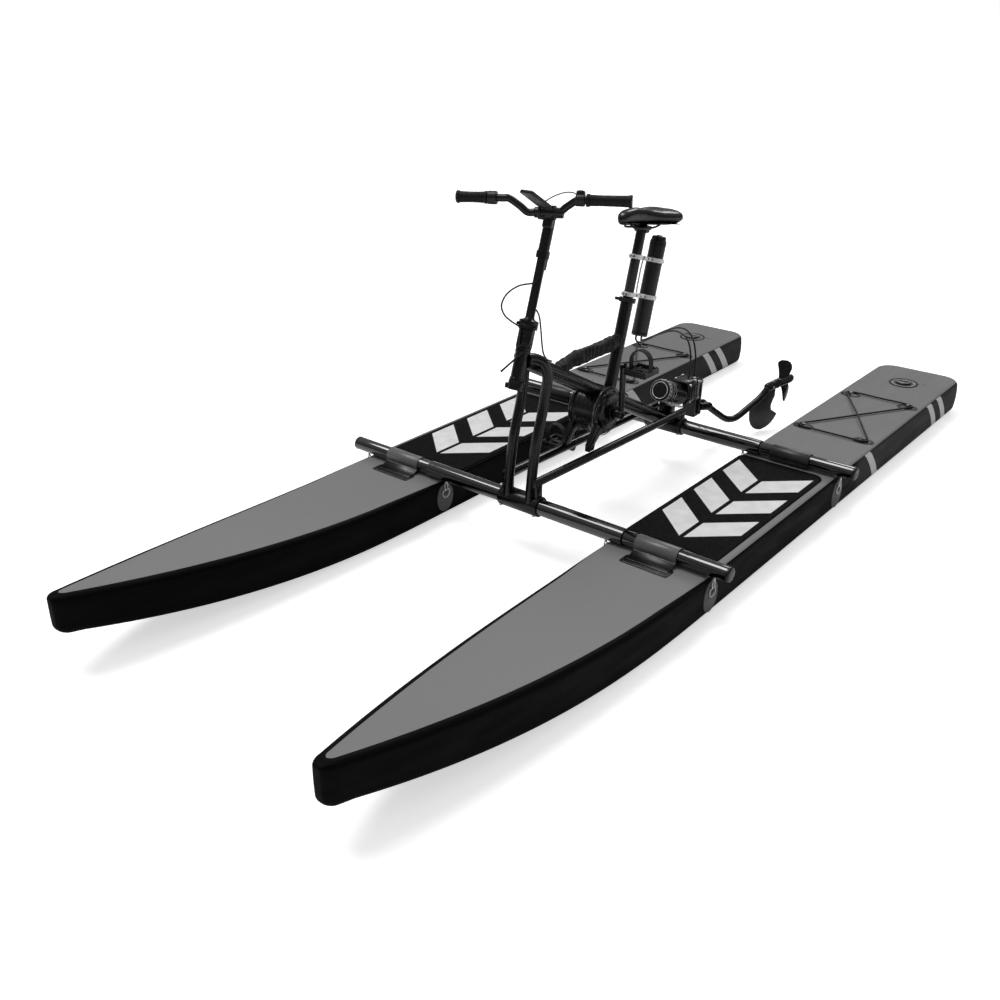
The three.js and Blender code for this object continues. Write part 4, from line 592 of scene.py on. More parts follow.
# for each way of making: finish: (name of the material, dark and light sRGB level, roughness, what else it takes)
FINISH_ROWS = {
    mottled: {
        "patch": ("patch_pvc", 9, 14, 0.4, dict(grain=420, relief=0.3, level=0.35)),
        "patch_grey": ("wall_patch_pvc", 84, 96, 0.5, dict(grain=420, relief=0.3, level=0.35)),
        "valve_cap": ("valve_cap_plastic", 100, 118, 0.4, dict(grain=600)),
        "tube": ("frame_paint", 5, 8, 0.24, dict(spread=0.05, patch=14, grain=900, relief=0.015, level=0.42)),
        "bar": ("bar_anodised", 5, 8, 0.14, dict(spread=0.03, patch=10, grain=900, relief=0.004, coat=1.0,
            coat_rough=0.05, coat_ior=1.68, level=0.4)),
        "bar_cap": ("bar_cap_plastic", 3, 5, 0.3, dict(grain=700)),
        "plastic": ("black_plastic", 6, 10, 0.36, dict(grain=800, relief=0.2)),
        "rubber": ("grip_rubber", 12, 17, 0.55, dict(grain=900, relief=0.3, level=0.3)),
        "drum": ("drum_casting", 5, 9, 0.25, dict(spread=0.07, patch=20, grain=500, relief=0.08, level=0.5)),
        "rear_strap": ("rear_strap_pvc", 44, 54, 0.34, dict(spread=0.06, patch=16, grain=500, relief=0.1, level=0.4)),
        "thread": ("seam_thread", 120, 150, 0.6, dict(grain=900)),
        "cable": ("cable_jacket", 5, 8, 0.34, dict(grain=700, relief=0.1)),
        "saddle": ("saddle_skin", 9, 14, 0.25, dict(spread=0.05, patch=30, grain=520, relief=0.12, level=0.6)),
        "screw": ("screw_composite", 6, 9, 0.24, dict(spread=0.06, patch=24, grain=500, relief=0.06, coat=0.3)),
        "fin": ("fin_composite", 46, 56, 0.42, dict(spread=0.08, patch=18, grain=600, relief=0.12)),
        "battery": ("battery_case", 9, 13, 0.36, dict(spread=0.06, patch=18, grain=900, relief=0.12)),
        "lead": ("pale_lead", 196, 214, 0.5, dict(grain=900, relief=0.1)),
    },
    toned: {
        "seat_ring": ("valve_ring", 9, 118, 0.45, {}),
    },
    brushed: {
        "alloy": ("clamp_alloy", 228, 246, 0.3, dict(metal=0.45)),
        "steel": ("ring_steel", 190, 222, 0.25, dict(metal=0.6)),
        "machined": ("machined_alloy", 90, 130, 0.3, dict(metal=0.8)),
    },
    woven: {
        "strap_foot": ("strap_webbing", 10, 15, 0.7, dict(threads=2100)),
        "cord": ("cord_braid", 7, 12, 0.5, dict(threads=1500, relief=0.4)),
        "sleeve": ("sleeve_cloth", 8, 13, 0.5, dict(threads=1700, relief=0.3, sheen=0.04)),
    },
}


def make_finishes(settings):
    """Builds every finish once, under the name that the pieces ask for it by."""
    FINISHES["hull"] = hull_finish(settings)
    FINISHES["pad"] = pad_finish(settings)
    FINISHES["strap"] = strap_finish()
    FINISHES["display"] = display_finish()
    for make, rows in FINISH_ROWS.items():
        for key, (name, dark, light, rough, more) in rows.items():
            FINISHES[key] = make(name, grey(dark), grey(light), rough, **more)


# ---- settings -----------------------------------------------------------------


class HullSettings(bpy.types.PropertyGroup):
    """Sizes and greys of the hulls and deck pads."""

    rail_round: bpy.props.FloatProperty(name="Rail round", description="Rounding of the deck's edge", default=0.02,
        unit="LENGTH")
    bottom_round: bpy.props.FloatProperty(name="Bottom round", description="Rounding under the walls",
        default=0.034, unit="LENGTH")
    seam_inset: bpy.props.FloatProperty(name="Seam inset", description="How far the black walls wrap over the deck",
        default=0.019, unit="LENGTH")
    # The deck's greys at the bow and at the stern differ by painted light and shade; the cloth itself is one grey.
    deck_bow: bpy.props.FloatProperty(name="Deck grey at the bow", description="sRGB level", default=136.4)
    deck_stern: bpy.props.FloatProperty(name="Deck grey at the stern", description="sRGB level", default=119.7)
    wall_bow: bpy.props.FloatProperty(name="Wall grey at the bow", description="sRGB level", default=7)
    wall_stern: bpy.props.FloatProperty(name="Wall grey at the stern", description="sRGB level", default=52)
    band_front: bpy.props.FloatProperty(name="Front band", description="Place of the front pale band at the deck",
        default=0.735, unit="LENGTH")
    band_middle: bpy.props.FloatProperty(name="Middle band",
        description="Place of the middle pale band at the deck", default=1.385, unit="LENGTH")
    band_rear: bpy.props.FloatProperty(name="Rear band", description="Place of the rear pale band at the deck",
        default=1.497, unit="LENGTH")
    band_slant: bpy.props.FloatProperty(name="Band slant", description="How far aft a band runs for its drop",
        default=0.9)
    band_width: bpy.props.FloatProperty(name="Band width", description="Width of a pale band", default=0.05,
        unit="LENGTH")
    chevron_pitch: bpy.props.FloatProperty(name="Chevron pitch", description="Distance between chevrons",
        default=0.2033, unit="LENGTH")
    chevron_share: bpy.props.FloatProperty(name="Chevron share", description="White share of the pitch",
        default=0.6, subtype="FACTOR")
    chevron_lean: bpy.props.FloatProperty(name="Chevron lean",
        description="How far a chevron runs aft across the pad", default=0.9)
    chevron_start: bpy.props.FloatProperty(name="Chevron start", description="Shift of the row of chevrons",
        default=0.33, unit="LENGTH")
    art_front: bpy.props.FloatProperty(name="Front of the design", description="Where the white design begins",
        default=-0.33, unit="LENGTH")
    art_rear: bpy.props.FloatProperty(name="Rear of the design", description="Where the white design ends",
        default=0.28, unit="LENGTH")


class StageSettings(bpy.types.PropertyGroup):
    """Camera, lamps and floor."""

    yaw: bpy.props.FloatProperty(name="Yaw", description="Camera's turn from +Y towards -X", default=0.68302157,
        subtype="ANGLE", unit="ROTATION")
    pitch: bpy.props.FloatProperty(name="Pitch", description="Camera's downward tilt", default=0.45369971,
        subtype="ANGLE", unit="ROTATION")
    roll: bpy.props.FloatProperty(name="Roll", description="Camera's roll", default=0.00452449, subtype="ANGLE",
        unit="ROTATION")
    place: bpy.props.FloatVectorProperty(name="Place", description="Camera's place",
        default=(1.8877874, -2.8696275, 1.6705783), subtype="TRANSLATION", unit="LENGTH")
    focal_pixels: bpy.props.FloatProperty(name="Focal length in pixels", description="Of an image 1000 pixels wide",
        default=1049.946)
    sky: bpy.props.FloatProperty(name="Sky strength", description="Even light from all round", default=0.27)
    key: bpy.props.FloatProperty(name="Key strength", description="Soft lamp from above", default=1.25)


SHAPES = {"hull": HullSettings, "stage": StageSettings}


def settings_of(name):
    """The scene's own copy of a group of settings."""
    return getattr(bpy.context.scene, "water_bike_" + name)


# ---- stage --------------------------------------------------------------------


class WATERBIKE_OT_stage(bpy.types.Operator):
    """Camera at the photograph's place, soft lamps, pale floor."""

    bl_idname = "waterbike.stage"
    bl_label = "Stage"

    def execute(self, context):
        s = settings_of("stage")
        scene = context.scene
        for old in [o for o in scene.objects if o.type in ("CAMERA", "LIGHT") or o.name == "Cube"]:
            bpy.data.objects.remove(old)
        ahead = np.array([-math.sin(s.yaw) * math.cos(s.pitch), math.cos(s.yaw) * math.cos(s.pitch),
            -math.sin(s.pitch)])
        right = np.array([math.cos(s.yaw), math.sin(s.yaw), 0.0])
        up = np.cross(right, ahead)
        leaned = math.cos(s.roll) * right + math.sin(s.roll) * up
        upright = -math.sin(s.roll) * right + math.cos(s.roll) * up
        place = Matrix.Identity(4)
        for k, axis in enumerate((leaned, upright, -ahead)):
            for row in range(3):
                place[row][k] = axis[row]
        place.translation = Vector(s.place)
        camera = bpy.data.objects.new("Camera", bpy.data.cameras.new("Camera"))
        scene.collection.objects.link(camera)
        camera.matrix_world = place
        camera.data.sensor_width = 36
        camera.data.sensor_fit = "HORIZONTAL"
        camera.data.lens = 36 * s.focal_pixels / 1000
        camera.data.clip_start, camera.data.clip_end = 0.05, 400
        scene.camera = camera

        for name, strength, angle, towards in (
            ("Key", s.key, 0.5, (-0.4, -0.1, 0.91)),
            ("Rim", s.key * 0.5, 0.4, (-0.2, 0.75, 0.63)),
        ):
            lamp = bpy.data.lights.new(name, "SUN")
            lamp.energy = strength
            lamp.angle = angle
            shown = bpy.data.objects.new(name, lamp)
            scene.collection.objects.link(shown)
            shown.rotation_euler = Vector(towards).to_track_quat("Z", "Y").to_euler()

        world = bpy.data.worlds.new("Studio")
        world.use_nodes = True
        scene.world = world
        nodes, links = world.node_tree.nodes, world.node_tree.links
        rays = nodes.new("ShaderNodeLightPath")
        way = nodes.new("ShaderNodeTexCoord")
        split = nodes.new("ShaderNodeSeparateXYZ")
        links.new(way.outputs["Generated"], split.inputs[0])
        lift = nodes.new("ShaderNodeMapRange")
        for k, value in enumerate((0.0, 0.15, 0.9, s.sky * 0.55, s.sky * 1.7)):
            lift.inputs[k].default_value = value
        links.new(split.outputs[2], lift.inputs[0])
        pick = nodes.new("ShaderNodeMix")
        links.new(rays.outputs["Is Camera Ray"], pick.inputs[0])
        links.new(lift.outputs[0], pick.inputs[2])
        pick.inputs[3].default_value = 1.0
        links.new(pick.outputs[0], nodes["Background"].inputs["Strength"])
        nodes["Background"].inputs["Color"].default_value = (1, 1, 1, 1)

        floor = Form()
        reach, low = 90000.0, -1.0
        floor.block((-reach, -reach, low - 50), (reach, reach, low), edge=1)
        f = Finish("studio_floor", 0.9, level=0.0)
        f.colour(f.mix(f.noise(3, 2), (0.9, 0.9, 0.9), (0.92, 0.92, 0.92)))
        f.bump(f.noise(80, 2), 0.02, 0.0005)
        paths = f.nodes.new("ShaderNodeLightPath")
        glow = f.sums("MULTIPLY", paths.outputs["Is Camera Ray"], 0.58)
        f.shader.inputs["Emission Color"].default_value = (1, 1, 1, 1)
        f.link(glow, f.shader.inputs["Emission Strength"])
        FINISHES["floor"] = f.material
        make_piece("Floor", floor, None, "floor")
        scene.view_settings.view_transform = "Standard"
        return {"FINISHED"}


# ---- cords ----------------------------------------------------------------------


def cord_piece(name, line, radius, finish, body, nodes, sides=14):
    """A round cord along its line, with a UV map scaled by its own length."""
    form = Form().sweep(line, radius, sides=sides)
    piece = make_piece(name, form, body, finish, nodes, "cord", crease=60)
    uv_along(piece, len(line), sides, line_length(line) * MILLIMETRE, 2 * math.pi * radius * MILLIMETRE)
    return piece


def uv_along(piece, rows, columns, length, girth):
    """A UV map in metres: u runs along the piece and v round it, from each corner's place in the grid."""
    mesh = piece.data
    layer = mesh.uv_layers.new(name="UVMap")
    corner = np.empty(len(mesh.loops), np.int32)
    mesh.loops.foreach_get("vertex_index", corner)
    uv = np.stack([corner // columns / max(rows - 1, 1) * length, corner % columns / columns * girth], 1)
    layer.data.foreach_set("uv", uv.astype(np.float32).ravel())


class WATERBIKE_OT_cords(bpy.types.Operator):
    """Deck cords, drive leads and control cables, each along its own route."""

    bl_idname = "waterbike.cords"
    bl_label = "Cords"

    def execute(self, context):
        for name, side in SIDES:
            line = evenly(smooth_line(deck_cord_route(side), 400), 260)
            cord_piece(f"deck_cord_{name}", line, 3.5, "cord", "platform", [f"bungee_{name}"], 12)
        for name, side, lift in (("left", 1, 9), ("right", -1, -7)):
            line = evenly(smooth_line(lead_route(side, lift), 300), 120)
            lead = cord_piece(f"lead_{name}", line, 3.4, "cable", None, [f"drive_lead_{name}"])
            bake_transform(lead)
        loop = evenly(placed(smooth_line(LOOP_ROUTE, 300), STEERED), 110)
        piece = cord_piece("control_cable_loop", loop, 2.6, "cable", None, ["cable_loop"])
        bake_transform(piece)
        rear = evenly(smooth_line(rear_route(), 240), 90)
        cord_piece("control_cable_rear", rear, 2.6, "cable", "platform", ["cable_rear"])
        return {"FINISHED"}


def deck_cord_route(side):
    """Round the four buttons and across itself in the middle."""
    away, z = 19.0, 146.8
    (front, rear), wide = BUTTON_ROWS, BUTTON_REACH
    outer = wide + away

    def slanting(first, last, lift):
        """Points of a straight run from side to side, lifted in its middle."""
        return [
            (outer * (1 - 2 * t), first + (last - first) * t, lift * (1 - abs(2 * t - 1)))
            for t in (0.06, 0.16, 0.3, 0.5, 0.7, 0.84, 0.94)
        ]

    rows = [(0, front - away, 0), (60, front - away, 0), (wide - 8, front - away, 0), (outer, front - 6, 0)]
    rows += slanting(front, rear, 8)
    rows += [(-outer, rear + 6, 0), (8 - wide, rear + away, 0), (0, rear + away, 0), (wide - 8, rear + away, 0),
        (outer, rear + 6, 0)]
    rows += slanting(rear, front, 0)
    rows += [(-outer, front - 6, 0), (8 - wide, front - away, 0), (-60, front - away, 0), (-0.6, front - away, 0)]
    return [(side * HULL_X + x, y, z + lift) for x, y, lift in rows]


def beside_seat(x, behind, along):
    """A place in the seat tube's own frame, whose third axis runs up the tube."""
    tilt = math.radians(SEAT_TILT)
    y = SEAT_FOOT[1] + behind * math.cos(tilt) + along * math.sin(tilt)
    return (x, y, SEAT_FOOT[2] - behind * math.sin(tilt) + along * math.cos(tilt))


def lead_route(side, lift):
    """Out of the battery's foot, level aft, and down in a bow to the motor's housing."""
    x = side * 11
    return [
        beside_seat(x, BATTERY_BACK, 5.7), beside_seat(x, BATTERY_BACK, -6), (x, 246, 542 + lift), (x, 300, 541 + lift),
        (x, 390, 541 + lift), (x, 476, 532 + lift), (x, 550, 504 + lift), (x, 606, 456 + lift / 2),
        (x, 634, 392), (x, 637.3, 356), (x, 636.3, 304.3),
    ]


# the cable's bow in front of the hinge, in the steering's own frame
LOOP_ROUTE = [
    (-1, -16.9, 300), (-8, -24.9, 294), (-42, -50.9, 278), (-68, -74.9, 246), (-74, -82.9, 212), (-62, -76.9, 188),
    (-40, -58.9, 172), (-18, -37, 160), (-15, -33, 150), (-13, -29, 128), (-8, -26.9, 101),
]


def rear_route():
    """From the mast down behind the head tube, to lie on top of the beam."""
    slope = math.atan2(BEAM_FRONT[2] - BEAM_REAR[2], BEAM_REAR[1] - BEAM_FRONT[1])
    clearance = (27 + 0.6 + 2.6) / math.cos(slope)

    def on_beam(x, y):
        return (x, y, beam_z(y) + clearance)

    def on_mast(away, along):
        return tuple(placed([(0, away, along)], STEERED)[0])

    return [
        on_mast(16.9, 246), on_mast(17.9, 230), (0, -366, 774), (2, -356, 724), (2, -349, 678), (2, -340, 644),
        on_beam(2, -322), on_beam(2, -296),
    ]


# ---- hulls ----------------------------------------------------------------------


def hull_half_width(y):
    """Full width aft; over the bow's length the tip plus what is left, times one less the share to the power 2.3.
    Round at the nose, with quarter circles at the stern's corners."""
    full, tip, end, bow, corner = HULL_HALF, 24.0, HULL_END, BOW_LENGTH, STERN_CORNER
    share = np.clip((-end + bow - y) / bow, 0, 1)
    wide = tip + (full - tip) * (1 - share**2.3)
    from_tip = np.clip(1 - (y + end) / 30, 0, 1)
    wide = wide * (0.3 + 0.7 * np.sqrt(1 - from_tip**2))
    aft = np.clip(y - (end - corner), 0, corner)
    return np.where(y > end - corner, full - corner + np.sqrt(np.maximum(corner**2 - aft**2, 0)), wide)


def hull_levels(y):
    """Bottom and top of the hull: the bottom rises with the square of the share of the rockered length, the top
    with its power 1.6. Both turn in by part of a circle at the nose."""
    rocker = 1100.0
    share = np.clip((rocker - HULL_END - y) / rocker, 0, 1)
    from_tip = np.clip(1 - (y + HULL_END) / 34, 0, 1)
    turn_in = 1 - np.sqrt(1 - from_tip**2)
    return 116 * share**2 + 24 * turn_in, DECK_Z + 95 * share**1.6 - 13 * turn_in


def hull_form(side, settings):
    """Rings along the hull; each is a rectangle with quarter-circle corners, the walls swelling by a half sine.
    Also returns how far inside the deck's seam each point lies, in metres."""
    end = HULL_END
    bow = -end + BOW_LENGTH * np.linspace(0, 1, 110) ** 2.2
    waist = np.linspace(bow[-1], end - STERN_CORNER, 60)[1:]
    stern = end - STERN_CORNER * (1 - np.sin(np.radians(np.linspace(0, 88.5, 16))))[1:]
    y = np.concatenate([bow, waist, stern])
    wide = hull_half_width(y)
    low, high = hull_levels(y)
    top_round = np.minimum(settings.rail_round * 1000, wide * 0.6)
    foot_round = np.minimum(settings.bottom_round * 1000, wide * 0.8)
    quarter = np.linspace(0, 1, 9)
    up = np.sin(quarter * math.pi / 2)
    over = np.cos(quarter * math.pi / 2)
    wall = np.linspace(0, 1, 9)[1:-1]
    deck = np.linspace(0, 1, 8)[1:-1]
    foot_x = (wide - foot_round)[:, None] + foot_round[:, None] * up
    foot_z = (low + foot_round)[:, None] - foot_round[:, None] * over
    top_x = (wide - top_round)[:, None] + top_round[:, None] * over
    top_z = (high - top_round)[:, None] + top_round[:, None] * up
    wall_z = foot_z[:, -1:] + (top_z[:, :1] - foot_z[:, -1:]) * wall
    swell = np.minimum(3.0, wide * 0.05)[:, None] * np.sin(wall * math.pi)
    wall_x = wide[:, None] + swell
    deck_x = top_x[:, -1:] * (1 - deck)
    deck_z = np.broadcast_to(high[:, None], deck_x.shape)
    middle = np.zeros((len(y), 1))
    half_x = np.hstack([middle, foot_x, wall_x, top_x, deck_x, middle])
    half_z = np.hstack([low[:, None], foot_z, wall_z, top_z, deck_z, high[:, None]])
    ring_x = np.hstack([half_x, -half_x[:, -2:0:-1]])
    ring_z = np.hstack([half_z, half_z[:, -2:0:-1]])
    rings = np.stack([side * HULL_X + ring_x, np.broadcast_to(y[:, None], ring_x.shape), ring_z], -1)
    # arc length from the seam, which lies halfway round the deck's edge; positive on the deck
    seam_column = 1 + 9 + 7 + 4
    step = np.hypot(np.diff(half_x, axis=1), np.diff(half_z, axis=1))
    arc_length = np.hstack([middle, np.cumsum(step, axis=1)])
    inside = arc_length - arc_length[:, seam_column : seam_column + 1]
    from_nose = (y + end)[:, None] - 30
    inside = inside - settings.seam_inset * 1000 * np.interp(y, [-1500, -700, FRONT_BAR], [1, 0.8, 0.15])[:, None]
    tip = np.broadcast_to(from_nose, inside.shape)
    rounded = 13 - np.hypot(np.minimum(inside - 13, 0), np.minimum(tip - 13, 0))
    inside = np.where(inside > -200, np.minimum(np.minimum(inside, tip), rounded), inside)
    seam = np.hstack([inside, inside[:, -2:0:-1]])
    return rings, seam.ravel() * MILLIMETRE


class WATERBIKE_OT_hulls(bpy.types.Operator):
    """Two inflated hulls with a soft rail, their wall patches, rings, buttons and valve seats."""

    bl_idname = "waterbike.hulls"
    bl_label = "Hulls"

    def execute(self, context):
        settings = settings_of("hull")
        for name, side in SIDES:
            rings, seam = hull_form(side, settings)
            piece = make_piece(f"hull_skin_{name}", Form().rings(rings), "platform", "hull", [f"hull_{name}"],
                "pvc", crease=50)
            layer = piece.data.attributes.new("seam", "FLOAT", "POINT")
            layer.data.foreach_set("value", seam.astype(np.float32))
            self.fittings(name, side)
        return {"FINISHED"}

    def fittings(self, name, side):
        wall_patches, steel, deck_patches, buttons, valve = Form(), Form(), Form(), Form(), Form()
        for y in (FRONT_BAR, REAR_BAR):
            for face in (1, -1):
                wall = side * HULL_X + face * HULL_HALF
                patch_disc(wall_patches, (wall + face * 2.2, y, 76), (face, 0, 0), 52, 2.6, stretch=0.78)
                wall_tab(wall_patches, wall + face * 3.6, face, y)
                d_ring(steel, wall + face * 7.5, y)
                snap_hook(steel, wall, face, y)
        for y in BUTTON_ROWS:
            for x in (side * HULL_X - BUTTON_REACH, side * HULL_X + BUTTON_REACH):
                patch_disc(deck_patches, (x, y, DECK_Z), (0, 0, 1), 27, 2.6, stretch=1.55)
                button(buttons, x, y)
        valve_seat(valve, side)
        make_piece(f"wall_patches_{name}", wall_patches, "platform", "patch_grey", slot="pvc")
        make_piece(f"wall_rings_{name}", steel, "platform", "steel")
        make_piece(f"deck_patches_{name}", deck_patches, "platform", "patch", slot="pvc")
        make_piece(f"cord_buttons_{name}", buttons, "platform", "machined", slot="black_plastic")
        make_piece(f"valve_seat_{name}", valve, "platform", "seat_ring", slot="black_plastic")
        cap, x, y = Form(), side * HULL_X, VALVE_Y
        profile = [(4, 0), (29, 0), (30, 1), (30, 4.2), (28.6, 5.4), (25, 5.8), (23.6, 4.2), (4, 4.2)]
        cap.turned(profile, (x, y, 144.3), (x, y, 160), 60)
        bar = rounded_outline((x - 23, y - 4), (x + 23, y + 4), 3.8)
        cap.plate(bar, 148, 153.4, edge=1.3)
        make_piece(f"valve_cap_skin_{name}", cap, f"{name}_valve", "valve_cap", [f"valve_cap_{name}"], "black_plastic")


def patch_disc(form, middle, way, radius, thick, stretch=1.0):
    """A glued disc with a soft rim: rings whose height falls by a quarter circle at the edge."""
    middle, way = np.array(middle, float), np.array(way, float)
    side = np.array([1.0, 0, 0]) if way[2] else np.array([0.0, 1, 0])
    other = np.cross(way, side)
    angle = circle(48)
    round_it = np.cos(angle)[:, None] * side * stretch + np.sin(angle)[:, None] * other
    rows = [(-1.5, 1.0), (thick * 0.3, 1.0), (thick * 0.75, 0.985), (thick, 0.955), (thick, 0.86),
        (thick * 0.9, 0.85), (thick, 0.84), (thick * 1.05, 0.4), (thick * 1.05, 0.06)]
    form.rings([middle + way * h + round_it * radius * r for h, r in rows])


def wall_tab(form, wall, face, y):
    """A folded tab that holds the ring: a short flat loop, thick over the ring's bar."""
    outline = rounded_outline((y - 12, 74), (y + 12, 92), 3)
    form.plate(outline, wall - 1, wall + face * 4.5, edge=1, axis="X")


def closed_tube(form, line, radius, sides=10):
    """A round tube along a closed line."""
    ahead = unit(np.roll(line, -1, 0) - np.roll(line, 1, 0))
    spare = np.linalg.svd(ahead)[2][-1]
    up = np.broadcast_to(spare, ahead.shape)
    across = unit(np.cross(ahead, up))
    angle = circle(sides)
    rings = line[:, None] + radius * (np.cos(angle)[:, None] * across[:, None] + np.sin(angle)[:, None] * up[:, None])
    form.rings(rings, loop=True)


def d_ring(form, wall, y):
    """A ring of wire, a circle whose upper side is cut flat."""
    angle = circle(40)
    z = 95 + np.minimum(17 * np.sin(angle), 17 * 0.65)
    closed_tube(form, np.stack([np.full(40, wall), y + 17 * np.cos(angle), z], 1), 2.1)


def snap_hook(form, wall, face, y):
    """A spring hook that goes up from the ring to the bar: a long link, a swivel barrel and a bolt eye."""
    x = wall + face * 8.5
    angle = circle(36)
    link = np.stack([np.full(36, x), y + 7.5 * np.cos(angle), 119 + 13 * np.sin(angle)], 1)
    closed_tube(form, link, 1.9, 8)
    form.turned([(2, 0), (4, 1), (4, 8), (2, 9)], (x, y, 131), (x, y, 140), 16)


def button(form, x, y):
    """A turned post with a domed head that the cord goes round."""
    form.turned([(11, 0), (11, 1.5), (6, 3), (5, 5), (5, 8), (8, 9.2), (8.6, 10.6), (6.5, 12), (1, 12.4)],
        (x, y, 141), (x, y, 156), 28)


def valve_seat(form, side):
    """A wide dark ring on the deck round the valve, a second one inside it, a pale plate between them and a pale
    dot beside them."""
    x, y, low, high = side * HULL_X, VALVE_Y, DECK_Z + 0.2, DECK_Z + 10
    outer = [(60, -2), (60, 1.2), (58.6, 2.8), (56, 3.4), (53.4, 2.8), (52, 0.9), (38, 0.9)]
    inner = [(36.6, 2.6), (34, 3.2), (31.4, 2.6), (30.6, 0.6), (4, 0.6), (4, -2)]
    plate = [(51.4, -2), (51.4, 1.1), (50, 1.3), (39.5, 1.3), (38.6, 1.1), (38.6, -2)]
    dot = [(14, -1), (14, 0.8), (12.5, 1.6), (0.8, 1.7)]
    form.turned(outer + inner, (x, y, low), (x, y, high), 72)
    form.turned(plate, (x, y, low), (x, y, high), 72, tone=1)
    form.turned(dot, (x + 66, y + 41, low), (x + 66, y + 41, high), 32, tone=1)


class WATERBIKE_OT_deck_pads(bpy.types.Operator):
    """Foam pads between the straps, crowned a little, with a soft rim."""

    bl_idname = "waterbike.deck_pads"
    bl_label = "Deck pads"

    def execute(self, context):
        for name, side in SIDES:
            x, foot = side * HULL_X, DECK_Z + 0.3
            outline = pad_outline() * (side, 1) + (x, 0)
            middle = np.array([x, 13.0])
            rim = [(0, 1.0), (1.2, 1.0), (3.2, 0.997), (4.4, 0.991), (4.9, 0.98)]
            rings = [
                np.column_stack([middle + (outline - middle) * share, np.full(len(outline), foot + rise)])
                for rise, share in rim + [(5.0, 0.94), (5.2, 0.6), (5.3, 0.2)]
            ]
            piece = make_piece(f"pad_{name}", Form().rings(rings), "platform", "pad", [f"deck_pad_{name}"],
                "pad_foam", crease=40)
        return {"FINISHED"}


def pad_outline():
    """A pad seen from above, its outer side towards +X: a rectangle that reaches forward on both sides of the
    strap's foot and has large round corners aft."""
    inner, outer, front, notch, rear = -174.0, 149.0, -396.0, -346.0, 424.0
    return np.vstack(
        [
            arc((outer - 12, front + 12), 12, -90, 0, 5),
            arc((outer - 40, rear - 40), 40, 0, 90, 10),
            arc((inner + 24, rear - 24), 24, 90, 180, 8),
            arc((inner + 12, front + 12), 12, 180, 270, 5),
            arc((-92, front + 6), 6, 270, 360, 4),
            arc((-80, notch - 6), 6, 180, 90, 4),
            arc((80, notch - 6), 6, 90, 0, 4),
            arc((92, front + 6), 6, 180, 270, 4),
        ]
    )


# ---- bars and straps --------------------------------------------------------------


class WATERBIKE_OT_bars(bpy.types.Operator):
    """Cross bars: a sleeve in the middle and two closed end tubes."""

    bl_idname = "waterbike.bars"
    bl_label = "Cross bars"

    def execute(self, context):
        for place, y in BARS:
            core = collar(24, 27, 800, 0.6, 0.5, 0.6, 0.6)
            make_piece(f"{place}_bar_sleeve", Form().turned(core, (-400, y, BAR_Z), (400, y, BAR_Z), 64, loop=True),
                "platform", "bar", [f"{place}_bar_core"])
            for name, side in SIDES:
                wall = [(20.8, 0.4), (21, 0), (23.2, 0), (23.5, 0.4), (23.5, 470), (23.5, 471), (20.5, 471),
                    (20.5, 1.0)]
                tube = Form().turned(wall, (side * 280, y, BAR_Z), (side * 762, y, BAR_Z), 64, loop=True)
                make_piece(f"{place}_end_tube_{name}", tube, "platform", "bar", [f"{place}_bar_{name}"])
                dome = [(19, -6), (20.3, -5), (20.3, 0.3), (23.6, 0.5), (23.7, 5), (22.6, 8.2), (20, 10.2),
                    (15, 10.9), (1, 11)]
                cap = Form().turned(dome, (side * 751, y, BAR_Z), (side * 762, y, BAR_Z), 56)
                make_piece(f"{place}_end_cap_{name}", cap, "platform", "bar_cap", slot="black_plastic")
        return {"FINISHED"}


def strap_profile(y, forward):
    """The line of a strap in the plane of Y and Z: flat on the deck, up and round over the bar, and down again."""
    radius, foot = 25.6, 142.6
    over = arc((y, BAR_Z), radius, 208, -28, 34)
    front = np.array([[y - 72, foot], [y - 62, foot], [y - 48, foot + 0.6], [y - 36, foot + 4.5], [y - 29, foot + 9.0]])
    if not forward:
        front = np.array([[y - 25.8, foot + 4.5], [y - 26.2, foot + 12]])
    rear = np.array([[y + 29, foot + 9.0], [y + 36, foot + 4.5], [y + 48, foot + 0.6], [y + 66, foot], [y + 87, foot]])
    return np.vstack([front, over, rear])


def ribbon(line, x0, x1, thick, edge=1.0):
    """A flat band: the line swept across from x0 to x1 with a thickness, its two long edges rounded."""
    line = np.asarray(line, float)
    ahead = unit(np.gradient(line, axis=0))
    normal = np.stack([-ahead[:, 1], ahead[:, 0]], 1)
    if normal[len(normal) // 2, 1] < 0:
        normal = -normal
    half = thick / 2
    ring = [(x0 + edge, half), (x1 - edge, half), (x1, half * 0.4), (x1, -half * 0.4)]
    ring += [(x1 - edge, -half), (x0 + edge, -half), (x0, -half * 0.4), (x0, half * 0.4)]
    return Form().rings([[(x, *(p + n * off)) for x, off in ring] for p, n in zip(line, normal)])


